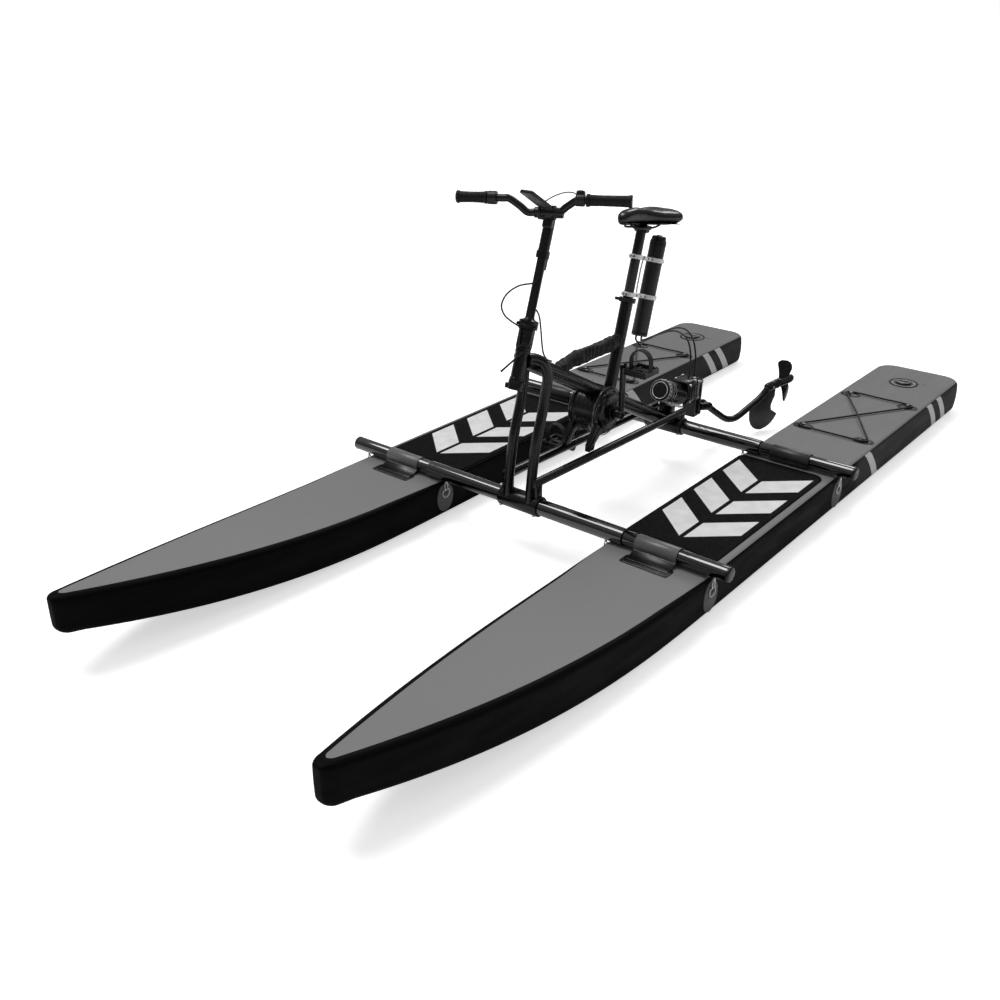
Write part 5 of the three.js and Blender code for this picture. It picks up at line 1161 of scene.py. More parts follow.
class WATERBIKE_OT_straps(bpy.types.Operator):
    """Broad coated straps over the bars, on black feet glued to the deck."""

    bl_idname = "waterbike.straps"
    bl_label = "Bar straps"

    def execute(self, context):
        for place, y in BARS:
            for name, side in SIDES:
                x, wide = side * HULL_X, 146
                line = strap_profile(y, place == "front")
                band = ribbon(line, x - wide / 2, x + wide / 2, 2.2)
                skin = "strap" if place == "front" else "rear_strap"
                piece = make_piece(f"{place}_strap_band_{name}", band, "platform", skin, [f"{place}_strap_{name}"],
                    "webbing", crease=60)
                ends = ((y - 92, y - 44), (y + 44, y + 92))
                rows = ((y - 88, 142.2), (y - 69, 143.9), (y - 27.8, 154.8), (y + 66, 143.9), (y + 80, 143.9))
                if place == "rear":
                    ends, rows = ends[1:], rows[3:]
                feet = Form()
                for near, far in ends:
                    outline = rounded_outline((x - 82, near), (x + 82, far), 7)
                    feet.plate(outline, 140.1, 142.0, edge=0.8)
                make_piece(f"{place}_strap_feet_{name}", feet, "platform", "patch", slot="webbing")
                seams = Form()
                for row, z in rows:
                    seam = np.stack([np.linspace(x - 70, x + 70, 60), np.full(60, row),
                        z + 0.3 * np.sin(np.arange(60) * 2.4)], 1)
                    seams.sweep(seam, 0.5, sides=6)
                make_piece(f"{place}_strap_seams_{name}", seams, "platform", "thread", slot="webbing")
        return {"FINISHED"}


# ---- frame --------------------------------------------------------------------------


def beam_z(y):
    """Height of the sloping beam's centre line."""
    (_, front, high), (_, rear, low) = BEAM_FRONT, BEAM_REAR
    return high + (low - high) * (y - front) / (rear - front)


def rail_z(y):
    """Height of the rails, which fall a little from bar to bar."""
    return 249 + (219 - 249) * (y - FRONT_BAR) / (REAR_BAR - FRONT_BAR)


def along_seat(distance):
    """A place on the seat tube's axis."""
    return np.array(beside_seat(0, 0, distance))


def along_steer(distance):
    """A place on the steering axis."""
    rake = math.radians(RAKE)
    return np.array([0, HEAD_FOOT[1] + distance * math.sin(rake), HEAD_FOOT[2] + distance * math.cos(rake)])


def post_route(side):
    """Up from the front bar, then bent in and back to the head tube's side."""
    head = along_steer(92 * 0.74)
    rows = [(45, 0.32, 1), (45, 0.82, 0.556), (45, 1, 0.238), (37, 0.81, 0.079), (23.5, 0.43, 0.014), (17.5, 0.12, 0.0)]
    foot = [(side * 45, -453, 168), (side * 45, -449, 228)]
    return foot + [(side * x, head[1] + 74 * back, head[2] - 277 * drop) for x, back, drop in rows]


def straight(start, end, steps=12):
    """Evenly spaced points of a straight line."""
    return np.linspace(np.asarray(start, float), np.asarray(end, float), steps)


class WATERBIKE_OT_frame(bpy.types.Operator):
    """Rails, bent front posts, sloping beam, head tube, seat tube and the bar clamps."""

    bl_idname = "waterbike.frame"
    bl_label = "Frame"

    def execute(self, context):
        for name, side in SIDES:
            rail = Form().sweep(straight((side * RAIL_X, FRONT_BAR - 18, rail_z(FRONT_BAR)),
                (side * RAIL_X, REAR_BAR + 18, rail_z(REAR_BAR))), 14.5, 40, round_end=3)
            make_piece(f"rail_tube_{name}", rail, "platform", "tube", [f"rail_{name}"])
            post = Form().sweep(evenly(smooth_line(post_route(side), 120), 90), 16.5, 40)
            make_piece(f"post_tube_{name}", post, "platform", "tube", [f"front_post_{name}"], crease=50)
        beam = Form().sweep(straight(BEAM_FRONT, BEAM_REAR, 30), 27, 56)
        make_piece("beam_tube", beam, "platform", "tube", ["main_beam"])
        head = [(15.6, 0.6), (16.2, 0), (23, 0), (24, 1), (24, 6), (22, 8), (22, 84), (24, 86), (24, 91), (23, 92),
            (16.2, 92), (15.6, 91.4)]
        make_piece("head_tube_skin", Form().turned(head, along_steer(0), along_steer(92), 48, loop=True),
            "platform", "tube", ["head_tube"])
        seat = Form()
        seat.turned([(17.5, 0.6), (18, 0), (20.8, 0), (21.5, 0.8), (21.5, 338), (17.5, 338)], along_seat(-222),
            along_seat(116), 48, loop=True)
        seat.turned([(17.5, 0.4), (18, 0), (27.5, 0), (29, 1.5), (29, 15), (27.5, 16.8), (18, 17), (17.5, 16.6)],
            along_seat(115.5), along_seat(133), 48, loop=True)
        for half in (-1, 1):
            seat.block((half * 2.2, -40, 118), (half * 9, -26, 131), 2, place=SEATED)
        seat.turned([(0.8, 0), (3.4, 0.4), (3.4, 20), (0.8, 20.4)], (-10, -35, 124.5), (10, -35, 124.5), 16,
            place=SEATED)
        make_piece("seat_tube_skin", seat, "platform", "tube", ["seat_tube"])
        for place, y in BARS:
            clamp = Form()
            clamp.turned(collar(27.6, 34, 156, 0.8, 0.6, 1, 1.4), (-78, y, BAR_Z), (78, y, BAR_Z), 60, loop=True)
            for side in (-1, 1):
                clamp.block((side * RAIL_X - 15, y - 14, 196), (side * RAIL_X + 15, y + 14, rail_z(y) - 3), 2)
            bolts = Form()
            for x in (-68, 68):
                for row in (-1, 1):
                    way = unit(np.array([0, row * 0.75, -0.66]))
                    base = np.array([x, y, BAR_Z]) + way * 33.5
                    bolts.turned([(1, 0), (5.4, 0), (5.8, 0.8), (5.8, 4), (4.6, 5), (2.6, 5), (2.6, 2.6),
                        (0.5, 2.6)], base, base + way * 6, 18)
            make_piece(f"{place}_clamp_skin", clamp, "platform", "tube", [f"{place}_clamp"])
            make_piece(f"{place}_clamp_bolts", bolts, "platform", "steel")
        return {"FINISHED"}


class WATERBIKE_OT_sleeve(bpy.types.Operator):
    """A loose cloth sleeve over the wiring, wrinkled across its length."""

    bl_idname = "waterbike.sleeve"
    bl_label = "Frame sleeve"

    def execute(self, context):
        end = along_seat(-12.5)
        front_y, front_z, middle_z = -268.0, 566.0, 582.0
        span = end[1] - front_y
        route = [
            (0, front_y, front_z), (0, front_y + span * 0.2, middle_z - 3), (0, front_y + span * 0.5, middle_z),
            (0, front_y + span * 0.8, middle_z), (0, end[1] - 6, end[2]),
        ]
        line = evenly(smooth_line(route, 200), 170)
        radius, sides = 24.0, 72
        form = wrinkled_tube(line, radius, sides)
        piece = make_piece("sleeve_skin", form, "platform", "sleeve", ["frame_sleeve"], "sleeve_cloth", crease=80)
        uv_along(piece, len(line), sides, line_length(line) * MILLIMETRE, 2 * math.pi * radius * MILLIMETRE)
        return {"FINISHED"}


def wrinkled_tube(line, radius, sides):
    """A tube whose radius waves along it: long shallow folds, short pinches that twist round it, and a gathered
    hem at each end."""
    s = np.linspace(0, 1, len(line))[:, None]
    angle = circle(sides)[None, :]
    folds = 1.3 * np.sin(14 * s + 2.6 * np.sin(angle + 5 * s)) * np.sin(7 * s + angle)
    folds += 0.6 * np.sin(29 * s + 5 * np.sin(angle + 4 * s) + 1.1) * np.cos(5 * s - 2 * angle)
    folds += 2.4 * np.exp(-(((s - 0.3) / 0.05) ** 2)) + 2.0 * np.exp(-(((s - 0.84) / 0.07) ** 2))
    twisted, fine = np.sin(3 * angle + 9 * s), np.sin(88 * s - 3 * angle + 2 * np.sin(13 * s))
    folds += 1.1 * twisted * np.sin(math.pi * s) + 0.5 * fine
    pinch = 2.6 * np.exp(-(((s - 0.035) / 0.014) ** 2)) + 3.2 * np.exp(-(((s - 0.93) / 0.02) ** 2))
    sag = 1.6 * np.sin(math.pi * s) * np.maximum(-np.sin(angle), 0)
    r = radius + 1.45 * folds - pinch + sag - 1.5
    ahead = unit(np.gradient(line, axis=0))
    across = np.broadcast_to(np.array([1.0, 0, 0]), ahead.shape)
    up = unit(np.cross(across, ahead))
    ring = np.cos(angle)[..., None] * across[:, None] + np.sin(angle)[..., None] * up[:, None]
    return Form().rings(line[:, None] + r[..., None] * ring)


# ---- steering -------------------------------------------------------------------------


class WATERBIKE_OT_steering(bpy.types.Operator):
    """Steerer, fold hinge and lever, mast, stem with its clamp, handlebar and what is on it."""

    bl_idname = "waterbike.steering"
    bl_label = "Steering"

    def execute(self, context):
        steerer = Form(STEERED)
        steerer.turned([(2, 0), (22, 0), (25, 3), (25, 27), (23.5, 29.5), (14.6, 29.6), (14.6, 122.4), (23, 122.5),
            (24, 123.5), (24, 136), (22, 138), (2, 138)], (0, 0, -30), (0, 0, 108), 48)
        steerer.block((-22, -22, 99), (22, 22, 159), 5)
        steerer.turned([(2, 0), (28.5, 0), (30, 1.5), (30, 11.5), (29, 12.9), (2, 12.9)], (0, 0, 157.9),
            (0, 0, 171), 56)
        steerer.turned(pin(5, 30.8, 0.6, 0.8, 1), (-30, -15.4, 171), (-30, 15.4, 171), 24)
        steerer.block((-25, -9, -25), (0, 9, -17), 2)
        steerer.turned(pin(9, 16, 1, 1, 1.5), (-25, 0, -29), (-25, 0, -13), 28)
        for z in (118, 140):
            steerer.turned([(1, 0), (4.6, 0), (5, 0.6), (5, 2.2), (3.5, 3), (1, 3)], (0, -21.5, z), (0, -25, z), 18)
        make_piece("steerer_skin", steerer, "steering", "tube", ["steerer"])

        lever = Form(STEERED)
        start, tip = np.array([20, -28.3, 106.0]), np.array([-45, -30.3, 21.0])
        lever.turned(pin(7, 9, 1, 1, 1), (20, -22.3, 106), (20, -31.3, 106), 28)
        lever.sweep(straight(start, tip, 24), 3.0, 16)
        lever.sweep(straight(tip, tip + unit(tip - start) * 5, 6), 4.0, 16, round_end=1.8)
        make_piece("fold_lever_skin", lever, "hinge_lever", "plastic", ["fold_lever"], "alloy")

        mast = Form(STEERED)
        mast.turned([(2, 0), (29, 0), (30, 1), (30, 11.5), (28.6, 13), (21, 15), (16, 18), (14, 22), (14, 246.7),
            (2, 246.8)], (0, 0, 171.2), (0, 0, 450), 48)
        make_piece("mast_skin", mast, "folding_mast", "tube", ["mast"])

        stem = Form(STEERED)
        stem.turned([(14.5, 0.4), (15, 0), (16.4, 0), (17, 0.6), (17, 112.4), (16.4, 113), (3, 113), (3, 112),
            (14.5, 111)], (0, 0, 371), (0, 0, 484), 48, loop=True)
        stem.turned(collar(14.5, 20.5, 22, 0.5, 0.4, 1, 1), (0, 0, 371), (0, 0, 393), 44, loop=True)
        for half in (-1, 1):
            stem.block((half * 1.6, 15.6, 374), (half * 7, 30, 390), 1.8)
        stem.block((-15, -32, 458), (15, 15, 508), 6)
        stem.turned(collar(16, 21, 42, 0.6, 0.6, 1, 1.2), (-21, 0, 0), (21, 0, 0), 44, loop=True, place=ON_BAR)
        for x in (-14, 14):
            for z in (-13, 13):
                stem.turned([(0.8, 0), (3.8, 0), (4.2, 0.6), (4.2, 3), (3, 3.8), (0.8, 3.8)], (x, -17, z),
                    (x, -23, z), 16, place=ON_BAR)
        make_piece("stem_skin", stem, "bar_set", "tube", ["stem"])

        quick = Form(STEERED)
        quick.turned(pin(6, 6, 0.6, 0.7, 1), (7.3, 25.5, 382), (13.3, 25.5, 382), 28)
        outline = np.array([[25.5 - 4.5, 382], [25.5 - 4.2, 352], [25.5 - 3.5, 341], [25.5, 338.2],
            [25.5 + 3.5, 341], [25.5 + 4.2, 352], [25.5 + 4.5, 382]])
        quick.plate(outline, 7.4, 13.2, edge=1.3, axis="X")
        make_piece("mast_lever_skin", quick, "height_lever", "plastic", ["mast_lever"])
        self.handlebar()
        return {"FINISHED"}

    def handlebar(self):
        line = evenly(smooth_line(bar_route(), 260), 200)
        bar = Form().sweep(line, 11.1, 32, round_end=1.5, place=ON_BAR)
        bar.turned([(2, 0), (14, 0.3), (15.6, 3), (15.6, 85), (14, 87.7), (2, 88)], (-44, 0, 0), (44, 0, 0), 44,
            place=ON_BAR)
        make_piece("handlebar_skin", bar, "bar_set", "tube", ["handlebar"], crease=45)
        for name, side, length in (("left", 1, 128), ("right", -1, 90)):
            grip = Form(ON_BAR)
            profile = grip_profile(length)
            grip.turned(profile, grip_at(side * (GRIP_END - length)), grip_at(side * GRIP_END), 48, loop=True)
            make_piece(f"grip_skin_{name}", grip, "bar_set", "rubber", [f"grip_{name}"], "grip_rubber", crease=50)
            ring = Form(ON_BAR)
            outer = np.array(grip_at(side * GRIP_END)) + np.array([side * 5.2, 0, 0])
            way = np.array([side, 0, 0])
            ring.turned([(2, -2), (12.6, -2), (12.6, 0.4), (11.4, 0.9), (2, 0.9)], outer, outer + way, 32)
            make_piece(f"grip_plug_{name}", ring, "bar_set", "steel")
        throttle = Form(ON_BAR)
        x = -152
        throttle.turned(collar(11.5, 19.5, 26, 0.5, 0.5, 0.9, 1), grip_at(x - 13), grip_at(x + 13), 44, loop=True)
        low, high = np.array(grip_at(x - 8)) + (0, 15.5, -11.7), np.array(grip_at(x + 8)) + (0, 40, -4.7)
        throttle.block(low, high, 3)
        make_piece("throttle_skin", throttle, "thumb_throttle", "plastic", ["throttle"])
        switch = Form(ON_BAR)
        switch.turned(collar(11.6, 18, 26, 0.4, 0.5, 0.8, 1), grip_at(111 - 13), grip_at(111 + 13), 44, loop=True)
        low, high = np.array(grip_at(99)), np.array(grip_at(123))
        switch.block(low + (0, -12, 12), high + (0, 12, 26), 3)
        for k, row in enumerate((-6, 1, 7)):
            switch.block(np.array(grip_at(104 + k)) + (0, row - 2.4, 25),
                np.array(grip_at(118 - k)) + (0, row + 2.4, 27.2), 1)
        make_piece("switch_box_skin", switch, "bar_set", "plastic", ["switch_box"])
        self.display()
        route = [(81, -12, 52), (74, -15, 56), (56, -22, 57), (34, -34, 50), (14, -48, 38), (-4, -60, 24),
            (-14, -66, 18)]
        line = placed(evenly(smooth_line(route, 90), 60), ON_BAR)
        cord_piece("switch_lead", line, 1.8, "cable", "bar_set", (), 12)

    def display(self):
        case = Form(ON_BAR)
        place = STEERED @ Matrix.Translation((-27, -120, 526)) @ turn(-31, "Z") @ turn(-15, "X")
        outline = rounded_outline((-25, -50), (25, 50), 7)
        case.plate(outline, -5.5, 4.6, edge=2.2, place=place)
        case.turned(collar(15.9, 20, 9, 0.5, 0.4, 0.6, 0.6), (-31.5, 0, 0), (-22.5, 0, 0), 40, loop=True)
        case.block((-31.5, -60, 16.8), (-22.5, 4, 20.6), 1.4)
        make_piece("display_case", case, "bar_set", "plastic", ["display"])
        glass = Form().plate(rounded_outline((-21.5, -46), (21.5, 46), 4), 4.2, 5.3, edge=0.5, place=place)
        make_piece("display_glass", glass, "bar_set", "display", slot="black_plastic")


def grip_at(x):
    """A place on the raised ends of the handlebar, at a distance from its middle."""
    return (x - 18, -12, 37)


def bar_route():
    """Level in the middle, a bend up and back on each side, then straight under the grips."""

    def side(sign):
        return [
            grip_at(sign * GRIP_END), grip_at(sign * (GRIP_END - 26)), grip_at(sign * (98 + 52 * 0.4)),
            grip_at(sign * (98 + 52 * 0.12)), (sign * 72 - 18, -6, 18.5), (sign * 46 - 18, 0, 0),
            (sign * 23 - 18, 0, 0),
        ]

    return side(-1) + side(1)[::-1]


def grip_profile(length):
    """A collar at each end and a waisted body with shallow ribs between."""
    body = np.linspace(11, length - 6, 60)
    ribs = 16.5 - np.sin((body - 11) / (length - 17) * math.pi) + 0.45 * np.sign(np.sin(body * 1.1))
    rows = [(11.6, 0.5), (12, 0), (17.6, 0), (18.5, 1), (18.5, 8), (17.6, 9)]
    rows += [(r, at) for r, at in zip(ribs, body)]
    rows += [(17.6, length - 4), (18.5, length - 3), (18.5, length + 3), (16.8, length + 5), (12, length + 5),
        (11.6, length + 1)]
    return rows


# ---- seat and battery -----------------------------------------------------------------


class WATERBIKE_OT_seat(bpy.types.Operator):
    """Seat post with its saddle clamp and rails, the quick lever, and the battery in its two clamps."""

    bl_idname = "waterbike.seat"
    bl_label = "Seat post and battery"

    def execute(self, context):
        post = Form(SADDLE_PLACE)
        post.turned([(2, 0), (16, 0), (17, 1), (17, 388), (2, 389)], (0, 0, -20), (0, 0, 369), 44, place=SEATED)
        post.block((-24, -26, 361), (24, 26, 374), 4)
        post.turned(pin(13, 48, 1, 1, 2), (-24, 0, 364), (24, 0, 364), 32)
        for side in (-1, 1):
            rail = [(side * 8.8, -90, 377.2), (side * 22, -75, 369.2), (side * 22, 37.5, 369.2), (side * 22, 75, 377.2)]
            post.sweep(evenly(smooth_line(rail, 60), 40), 3.5, 14)
        make_piece("seat_post_skin", post, "seat_set", "tube", ["seat_post"], crease=45)

        lever = Form(SEATED)
        x, y, z, front = -15.8, -38.0, 124.5, -40.3
        lever.turned(pin(6.5, 10, 0.7, 0.8, 1), (x, y, z - 5), (x, y, z + 5), 28)
        outline = np.array([[x - 6.5, front], [x - 6.5, front - 5.5], [x - 2, front - 8], [x + 44, front - 7.2],
            [x + 51, front - 5], [x + 53.5, front - 2.5], [x + 51, front]])
        lever.plate(outline, z - 5, z + 5, edge=1.6)
        make_piece("seat_lever_skin", lever, "seat_quick_lever", "plastic", ["seat_lever"], "alloy")

        case = Form(SEATED)
        case.turned([(2, 0), (25, 0), (27.6, 1.4), (28.5, 4.5), (28.5, 328), (28.2, 330.5), (25.6, 333),
            (25.6, 340), (24.4, 344), (20, 347), (2, 347.4)], (0, BATTERY_BACK, 6), (0, BATTERY_BACK, 360), 56)
        case.turned([(2, 0), (9, 0), (9.5, 0.6), (9.5, 3), (8, 4), (2, 4)], (0, BATTERY_BACK, 352),
            (0, BATTERY_BACK, 356.5), 24)
        make_piece("battery_case", case, "seat_set", "battery", ["battery"], "black_plastic")
        bands = Form(SEATED)
        for at in (14, 322):
            bands.turned([(28.3, 0), (29.0, 0.6), (29.0, 5.4), (28.3, 6)], (0, BATTERY_BACK, at),
                (0, BATTERY_BACK, at + 6), 56)
        make_piece("battery_bands", bands, "seat_set", "rubber", slot="black_plastic")
        for name, at in (("upper", 270.0), ("lower", 143.0)):
            self.clamp(name, at)
        lead = Form(SEATED)
        route = [(15, 32, 278), (14, 26.5, 262), (13, 25, 240), (13, 25, 200), (13, 25.5, 170), (14, 28, 152)]
        lead.sweep(evenly(smooth_line(route, 90), 50), 2.6, 12)
        make_piece("battery_lead", lead, "seat_set", "lead", slot="cord", crease=60)
        return {"FINISHED"}

    def clamp(self, name, at):
        """Two rings and an arm, with split ears in front and a bolt through each."""
        form, bolts = Form(SEATED), Form(SEATED)
        low, high = at - 7.5, at + 7.5
        for y, inner, outer in ((0, 17.4, 23), (BATTERY_BACK, 28.9, 34)):
            form.turned(collar(inner, outer, 15), (0, y, low), (0, y, high), 52, loop=True)
        for side in (-1, 1):
            form.block((side * 5, 18, low + 1.5), (side * 13, 102, high - 1.5), 1.6)
            form.block((side * 1.3, -33, low + 2), (side * 6, -17.6, high - 2), 1.2)
        for y in (-28.0, 34.0, 62.0, 88.0):
            wide = 9.5 if y < 0 else 14.6
            bolts.turned(pin(4, 2 * wide, 0.4, 0.6, 0.8), (-wide, y, at), (wide, y, at), 16)
        make_piece(f"battery_clamp_{name}_skin", form, "seat_set", "alloy", [f"battery_clamp_{name}"])
        make_piece(f"battery_clamp_{name}_bolts", bolts, "seat_set", "machined")


class WATERBIKE_OT_saddle(bpy.types.Operator):
    """A padded saddle with a narrow nose, a broad tail and a channel, shaped by formula, on a stiff base."""

    bl_idname = "waterbike.saddle"
    bl_label = "Saddle"

    def execute(self, context):
        form = Form(SADDLE_PLACE).rings(saddle_rings())
        piece = make_piece("saddle_pad", form, "seat_set", "saddle", ["saddle"], "saddle_skin", crease=80)
        base = Form(SADDLE_PLACE).rings(saddle_rings(shrink=0.93, low=True))
        make_piece("saddle_base", base, "seat_set", "plastic", crease=60)
        return {"FINISHED"}


def saddle_rings(shrink=1.0, low=False):
    """Rings from the nose to the tail. A ring is a flattened oval, its half width and top from curves through the
    solid's own stations, its lower half drawn in, with a channel along the middle of the top."""
    shares = np.array([0, 0.03, 0.1, 0.25, 0.4, 0.52, 0.64, 0.76, 0.87, 0.95, 1])
    widths = np.array([0.6, 0.9, 1.05, 1.15, 1.4, 1.95, 2.9, 3.7, 4, 3.7, 2.7])
    lifts = np.array([-1.5, -0.95, -0.4, 0.15, 0.22, 0.0, -0.12, 0.06, 0.2, 0.16, -0.3])
    s = 0.5 - 0.5 * np.cos(np.linspace(0.0, 1, 72) * math.pi)
    soft = np.array([1, 4, 6, 4, 1]) / 16
    fine = np.linspace(0, 1, 400)

    def eased(values):
        v = np.interp(fine, shares, values)
        for _ in range(12):
            v[2:-2] = np.convolve(v, soft, "valid")
        return np.interp(s, fine, v)

    wide = 21 * eased(widths)
    end = np.sqrt(np.clip(1 - ((s - 0.5) * 2) ** 22, 0, 1))
    wide = wide * (0.25 + 0.75 * end)
    top = 429.5 + 13.8 * eased(lifts)
    foot = np.full_like(top, 377.5)
    y = -143 + s * 292
    angle = circle(64)
    c, d = np.cos(angle), np.sin(angle)
    side = np.sign(c) * np.abs(c) ** 0.66
    rise = np.sign(d) * np.abs(d) ** 0.78
    lower = d < 0
    drawn = np.where(lower, 1 - 0.3 * np.abs(d), 1)
    middle = ((top + foot) / 2)[:, None]
    deep = ((top - foot) / 2 * (0.35 + 0.65 * end))[:, None]
    near_middle = np.exp(-((side[None, :] * wide[:, None] / 9) ** 2))
    near_tail = np.exp(-(((s[:, None] - 0.62) / 0.26) ** 4))
    channel = 3.4 * near_middle * near_tail * ~lower
    x = wide[:, None] * side * drawn * shrink
    z = middle + deep * rise - channel
    if low:
        z = np.minimum(z, foot[:, None] + 9)
        z = z - 1.2
    return np.stack([x, np.broadcast_to(y[:, None], x.shape), z], -1)


# ---- pedal drive ------------------------------------------------------------------------


class WATERBIKE_OT_drum(bpy.types.Operator):
    """Gear housing with cooling ribs, cover bolts and feet on the rails."""

    bl_idname = "waterbike.drum"
    bl_label = "Gear drum"

    def execute(self, context):
        form = Form()
        y, z = AXLE_Y, AXLE_Z
        profile = [(10.6, -14), (25.6, -14), (27, -12.6), (27, 0), (88.6, 0), (90, 1.4), (90, 9.6), (88.6, 11),
            (84, 12.5), (82, 16)]
        for at in (30, 48, 66, 84):
            profile += [(82, at), (80.2, at + 1.4), (80.2, at + 4.6), (82, at + 6)]
        profile += [(82, 96), (80.6, 100), (76, 103.4), (70, 104), (64, 104), (62.5, 105), (60, 115), (58.5, 116),
            (27, 116), (27, 128.6), (25.6, 130), (10.6, 130)]
        form.turned(profile, (-60, y, z), (70, y, z), 96, loop=True)
        reach = 82.0
        foot_y = y - reach * 1.27
        foot_z = rail_z(foot_y) + 14.8
        outline = np.array([
            [y - reach * 0.5, z - reach * 0.72], [y - reach * 0.88, z - reach * 0.3],
            [foot_y - reach * 0.17, foot_z + reach * 0.29], [foot_y - reach * 0.17, foot_z + reach * 0.01],
            [foot_y + reach * 0.2, foot_z], [foot_y + reach * 0.27, foot_z + reach * 0.27],
        ])
        for low in (36, -59):
            form.plate(outline, low, low + 18, edge=2, axis="X")
        make_piece("drum_housing", form, "platform", "drum", ["gear_drum"])
        trim = Form()
        trim.turned(pin(86, 4, 0.6, 0.6, 84), (37.5, y, z), (41.5, y, z), 96, loop=True)
        for k in range(8):
            a = math.radians(k * 45 + 12)
            base = np.array([44.2, y + 72.5 * math.cos(a), z + 72.5 * math.sin(a)])
            trim.turned([(0.8, -2), (4, -2), (4.4, 0.6), (4.4, 3.4), (3.2, 4.2), (0.8, 4.2)], base,
                base + (1, 0, 0), 16)
        for k in range(5):
            a = math.radians(k * 72 + 30)
            base = np.array([56, y + 44 * math.cos(a), z + 44 * math.sin(a)])
            trim.turned([(0.8, -1), (4, -1), (4.2, 0.5), (4.2, 2.4), (3.2, 3), (0.8, 3)], base, base + (1, 0, 0), 16)
        make_piece("drum_bolts", trim, "platform", "machined")
        return {"FINISHED"}


class WATERBIKE_OT_pedals(bpy.types.Operator):
    """Cranks and caged pedals with their toe straps."""

    bl_idname = "waterbike.pedals"
    bl_label = "Cranks and pedals"

    def execute(self, context):
        y, axis_z = AXLE_Y, AXLE_Z
        for name, side in SIDES:
            z = axis_z + side * CRANK_ARM
            crank = Form()
            crank.turned([(2, 0), (16, 0), (17, 1), (17, 27), (15.6, 28), (9, 28), (9, 26), (2, 26)],
                (side * 76, y, axis_z), (side * 104, y, axis_z), 40)
            crank.turned(pin(14, 13, 1, 1, 2), (side * 91, y, z), (side * 104, y, z), 36)
            low, high = min(axis_z, z), max(axis_z, z)
            taper = 9.5 if side > 0 else 12
            arm = np.array([[y - taper, low], [y + taper, low], [y + 21.5 - taper, high], [y - 21.5 + taper, high]])
            crank.plate(arm, side * 91.2, side * 103.8, edge=2.2, axis="X")
            crank.sweep(straight((side * 100, y, z), (side * 206, y, z), 6), 5, 24, round_end=1)
            if side > 0:
                crank.sweep(straight((-75.7, y, axis_z), (82, y, axis_z), 6), 10, 28)
            make_piece(f"crank_skin_{name}", crank, "cranks", "tube", [f"crank_{name}"])
            self.pedal(name, side, y, z)
        return {"FINISHED"}

    def pedal(self, name, side, y, z):
        low = 124.0 if side > 0 else -210.0
        high = low + 86
        cage = Form()
        for near, far in ((y - 42, y - 35), (y + 35, y + 42)):
            outline = rounded_outline((low, near), (high, far), 3)
            cage.plate(outline, z - 10, z + 10, edge=1.2)
            for k in range(7):
                x = low + 9 + k * 11.3
                cage.block((x - 2, near + 0.5, z + 9), (x + 2, far - 0.5, z + 12.4), 0.8)
                cage.block((x - 2, near + 0.5, z - 12.4), (x + 2, far - 0.5, z - 9), 0.8)
        for x in (low, high - 8):
            cage.block((x, y - 38, z - 9), (x + 8, y + 38, z + 9), 2.2)
        cage.turned(collar(5.6, 10, 85, 0.4, 0.4, 1, 1), (low + 0.5, y, z), (high - 0.5, y, z), 32, loop=True)
        for x in (low + 24, high - 24):
            cage.block((x - 5, y - 37, z - 4), (x + 5, y - 8, z + 4), 1.4)
            cage.block((x - 5, y + 8, z - 4), (x + 5, y + 37, z + 4), 1.4)
        make_piece(f"pedal_cage_{name}", cage, f"{name}_pedal", "plastic", [f"pedal_{name}"])
        reach = 43 - 3.6
        rise = 74 - reach
        middle = (low + high) / 2
        path = np.vstack([[[middle + reach - 1.7, z - 6]], arc((middle, z + rise), reach - 1.7, 0, 180, 30),
            [[middle - reach + 1.7, z - 6]]])
        line = np.stack([path[:, 0], np.full(len(path), y - 4.4), path[:, 1]], 1)
        strap = Form()
        ahead = unit(np.gradient(line, axis=0))
        out = unit(np.cross(ahead, [0.0, 1, 0]))
        ring = [(-11, 1.6), (11, 1.6), (11, -1.6), (-11, -1.6)]
        rings = np.array([[p + np.array([0, w, 0]) + n * t for w, t in ring] for p, n in zip(line, out)])
        strap.rings(rings)
        piece = make_piece(f"toe_strap_{name}", strap, f"{name}_pedal", "strap_foot", slot="webbing", crease=50)
        uv_along(piece, len(line), 4, line_length(line) * MILLIMETRE, 0.044)


# ---- drive ------------------------------------------------------------------------------


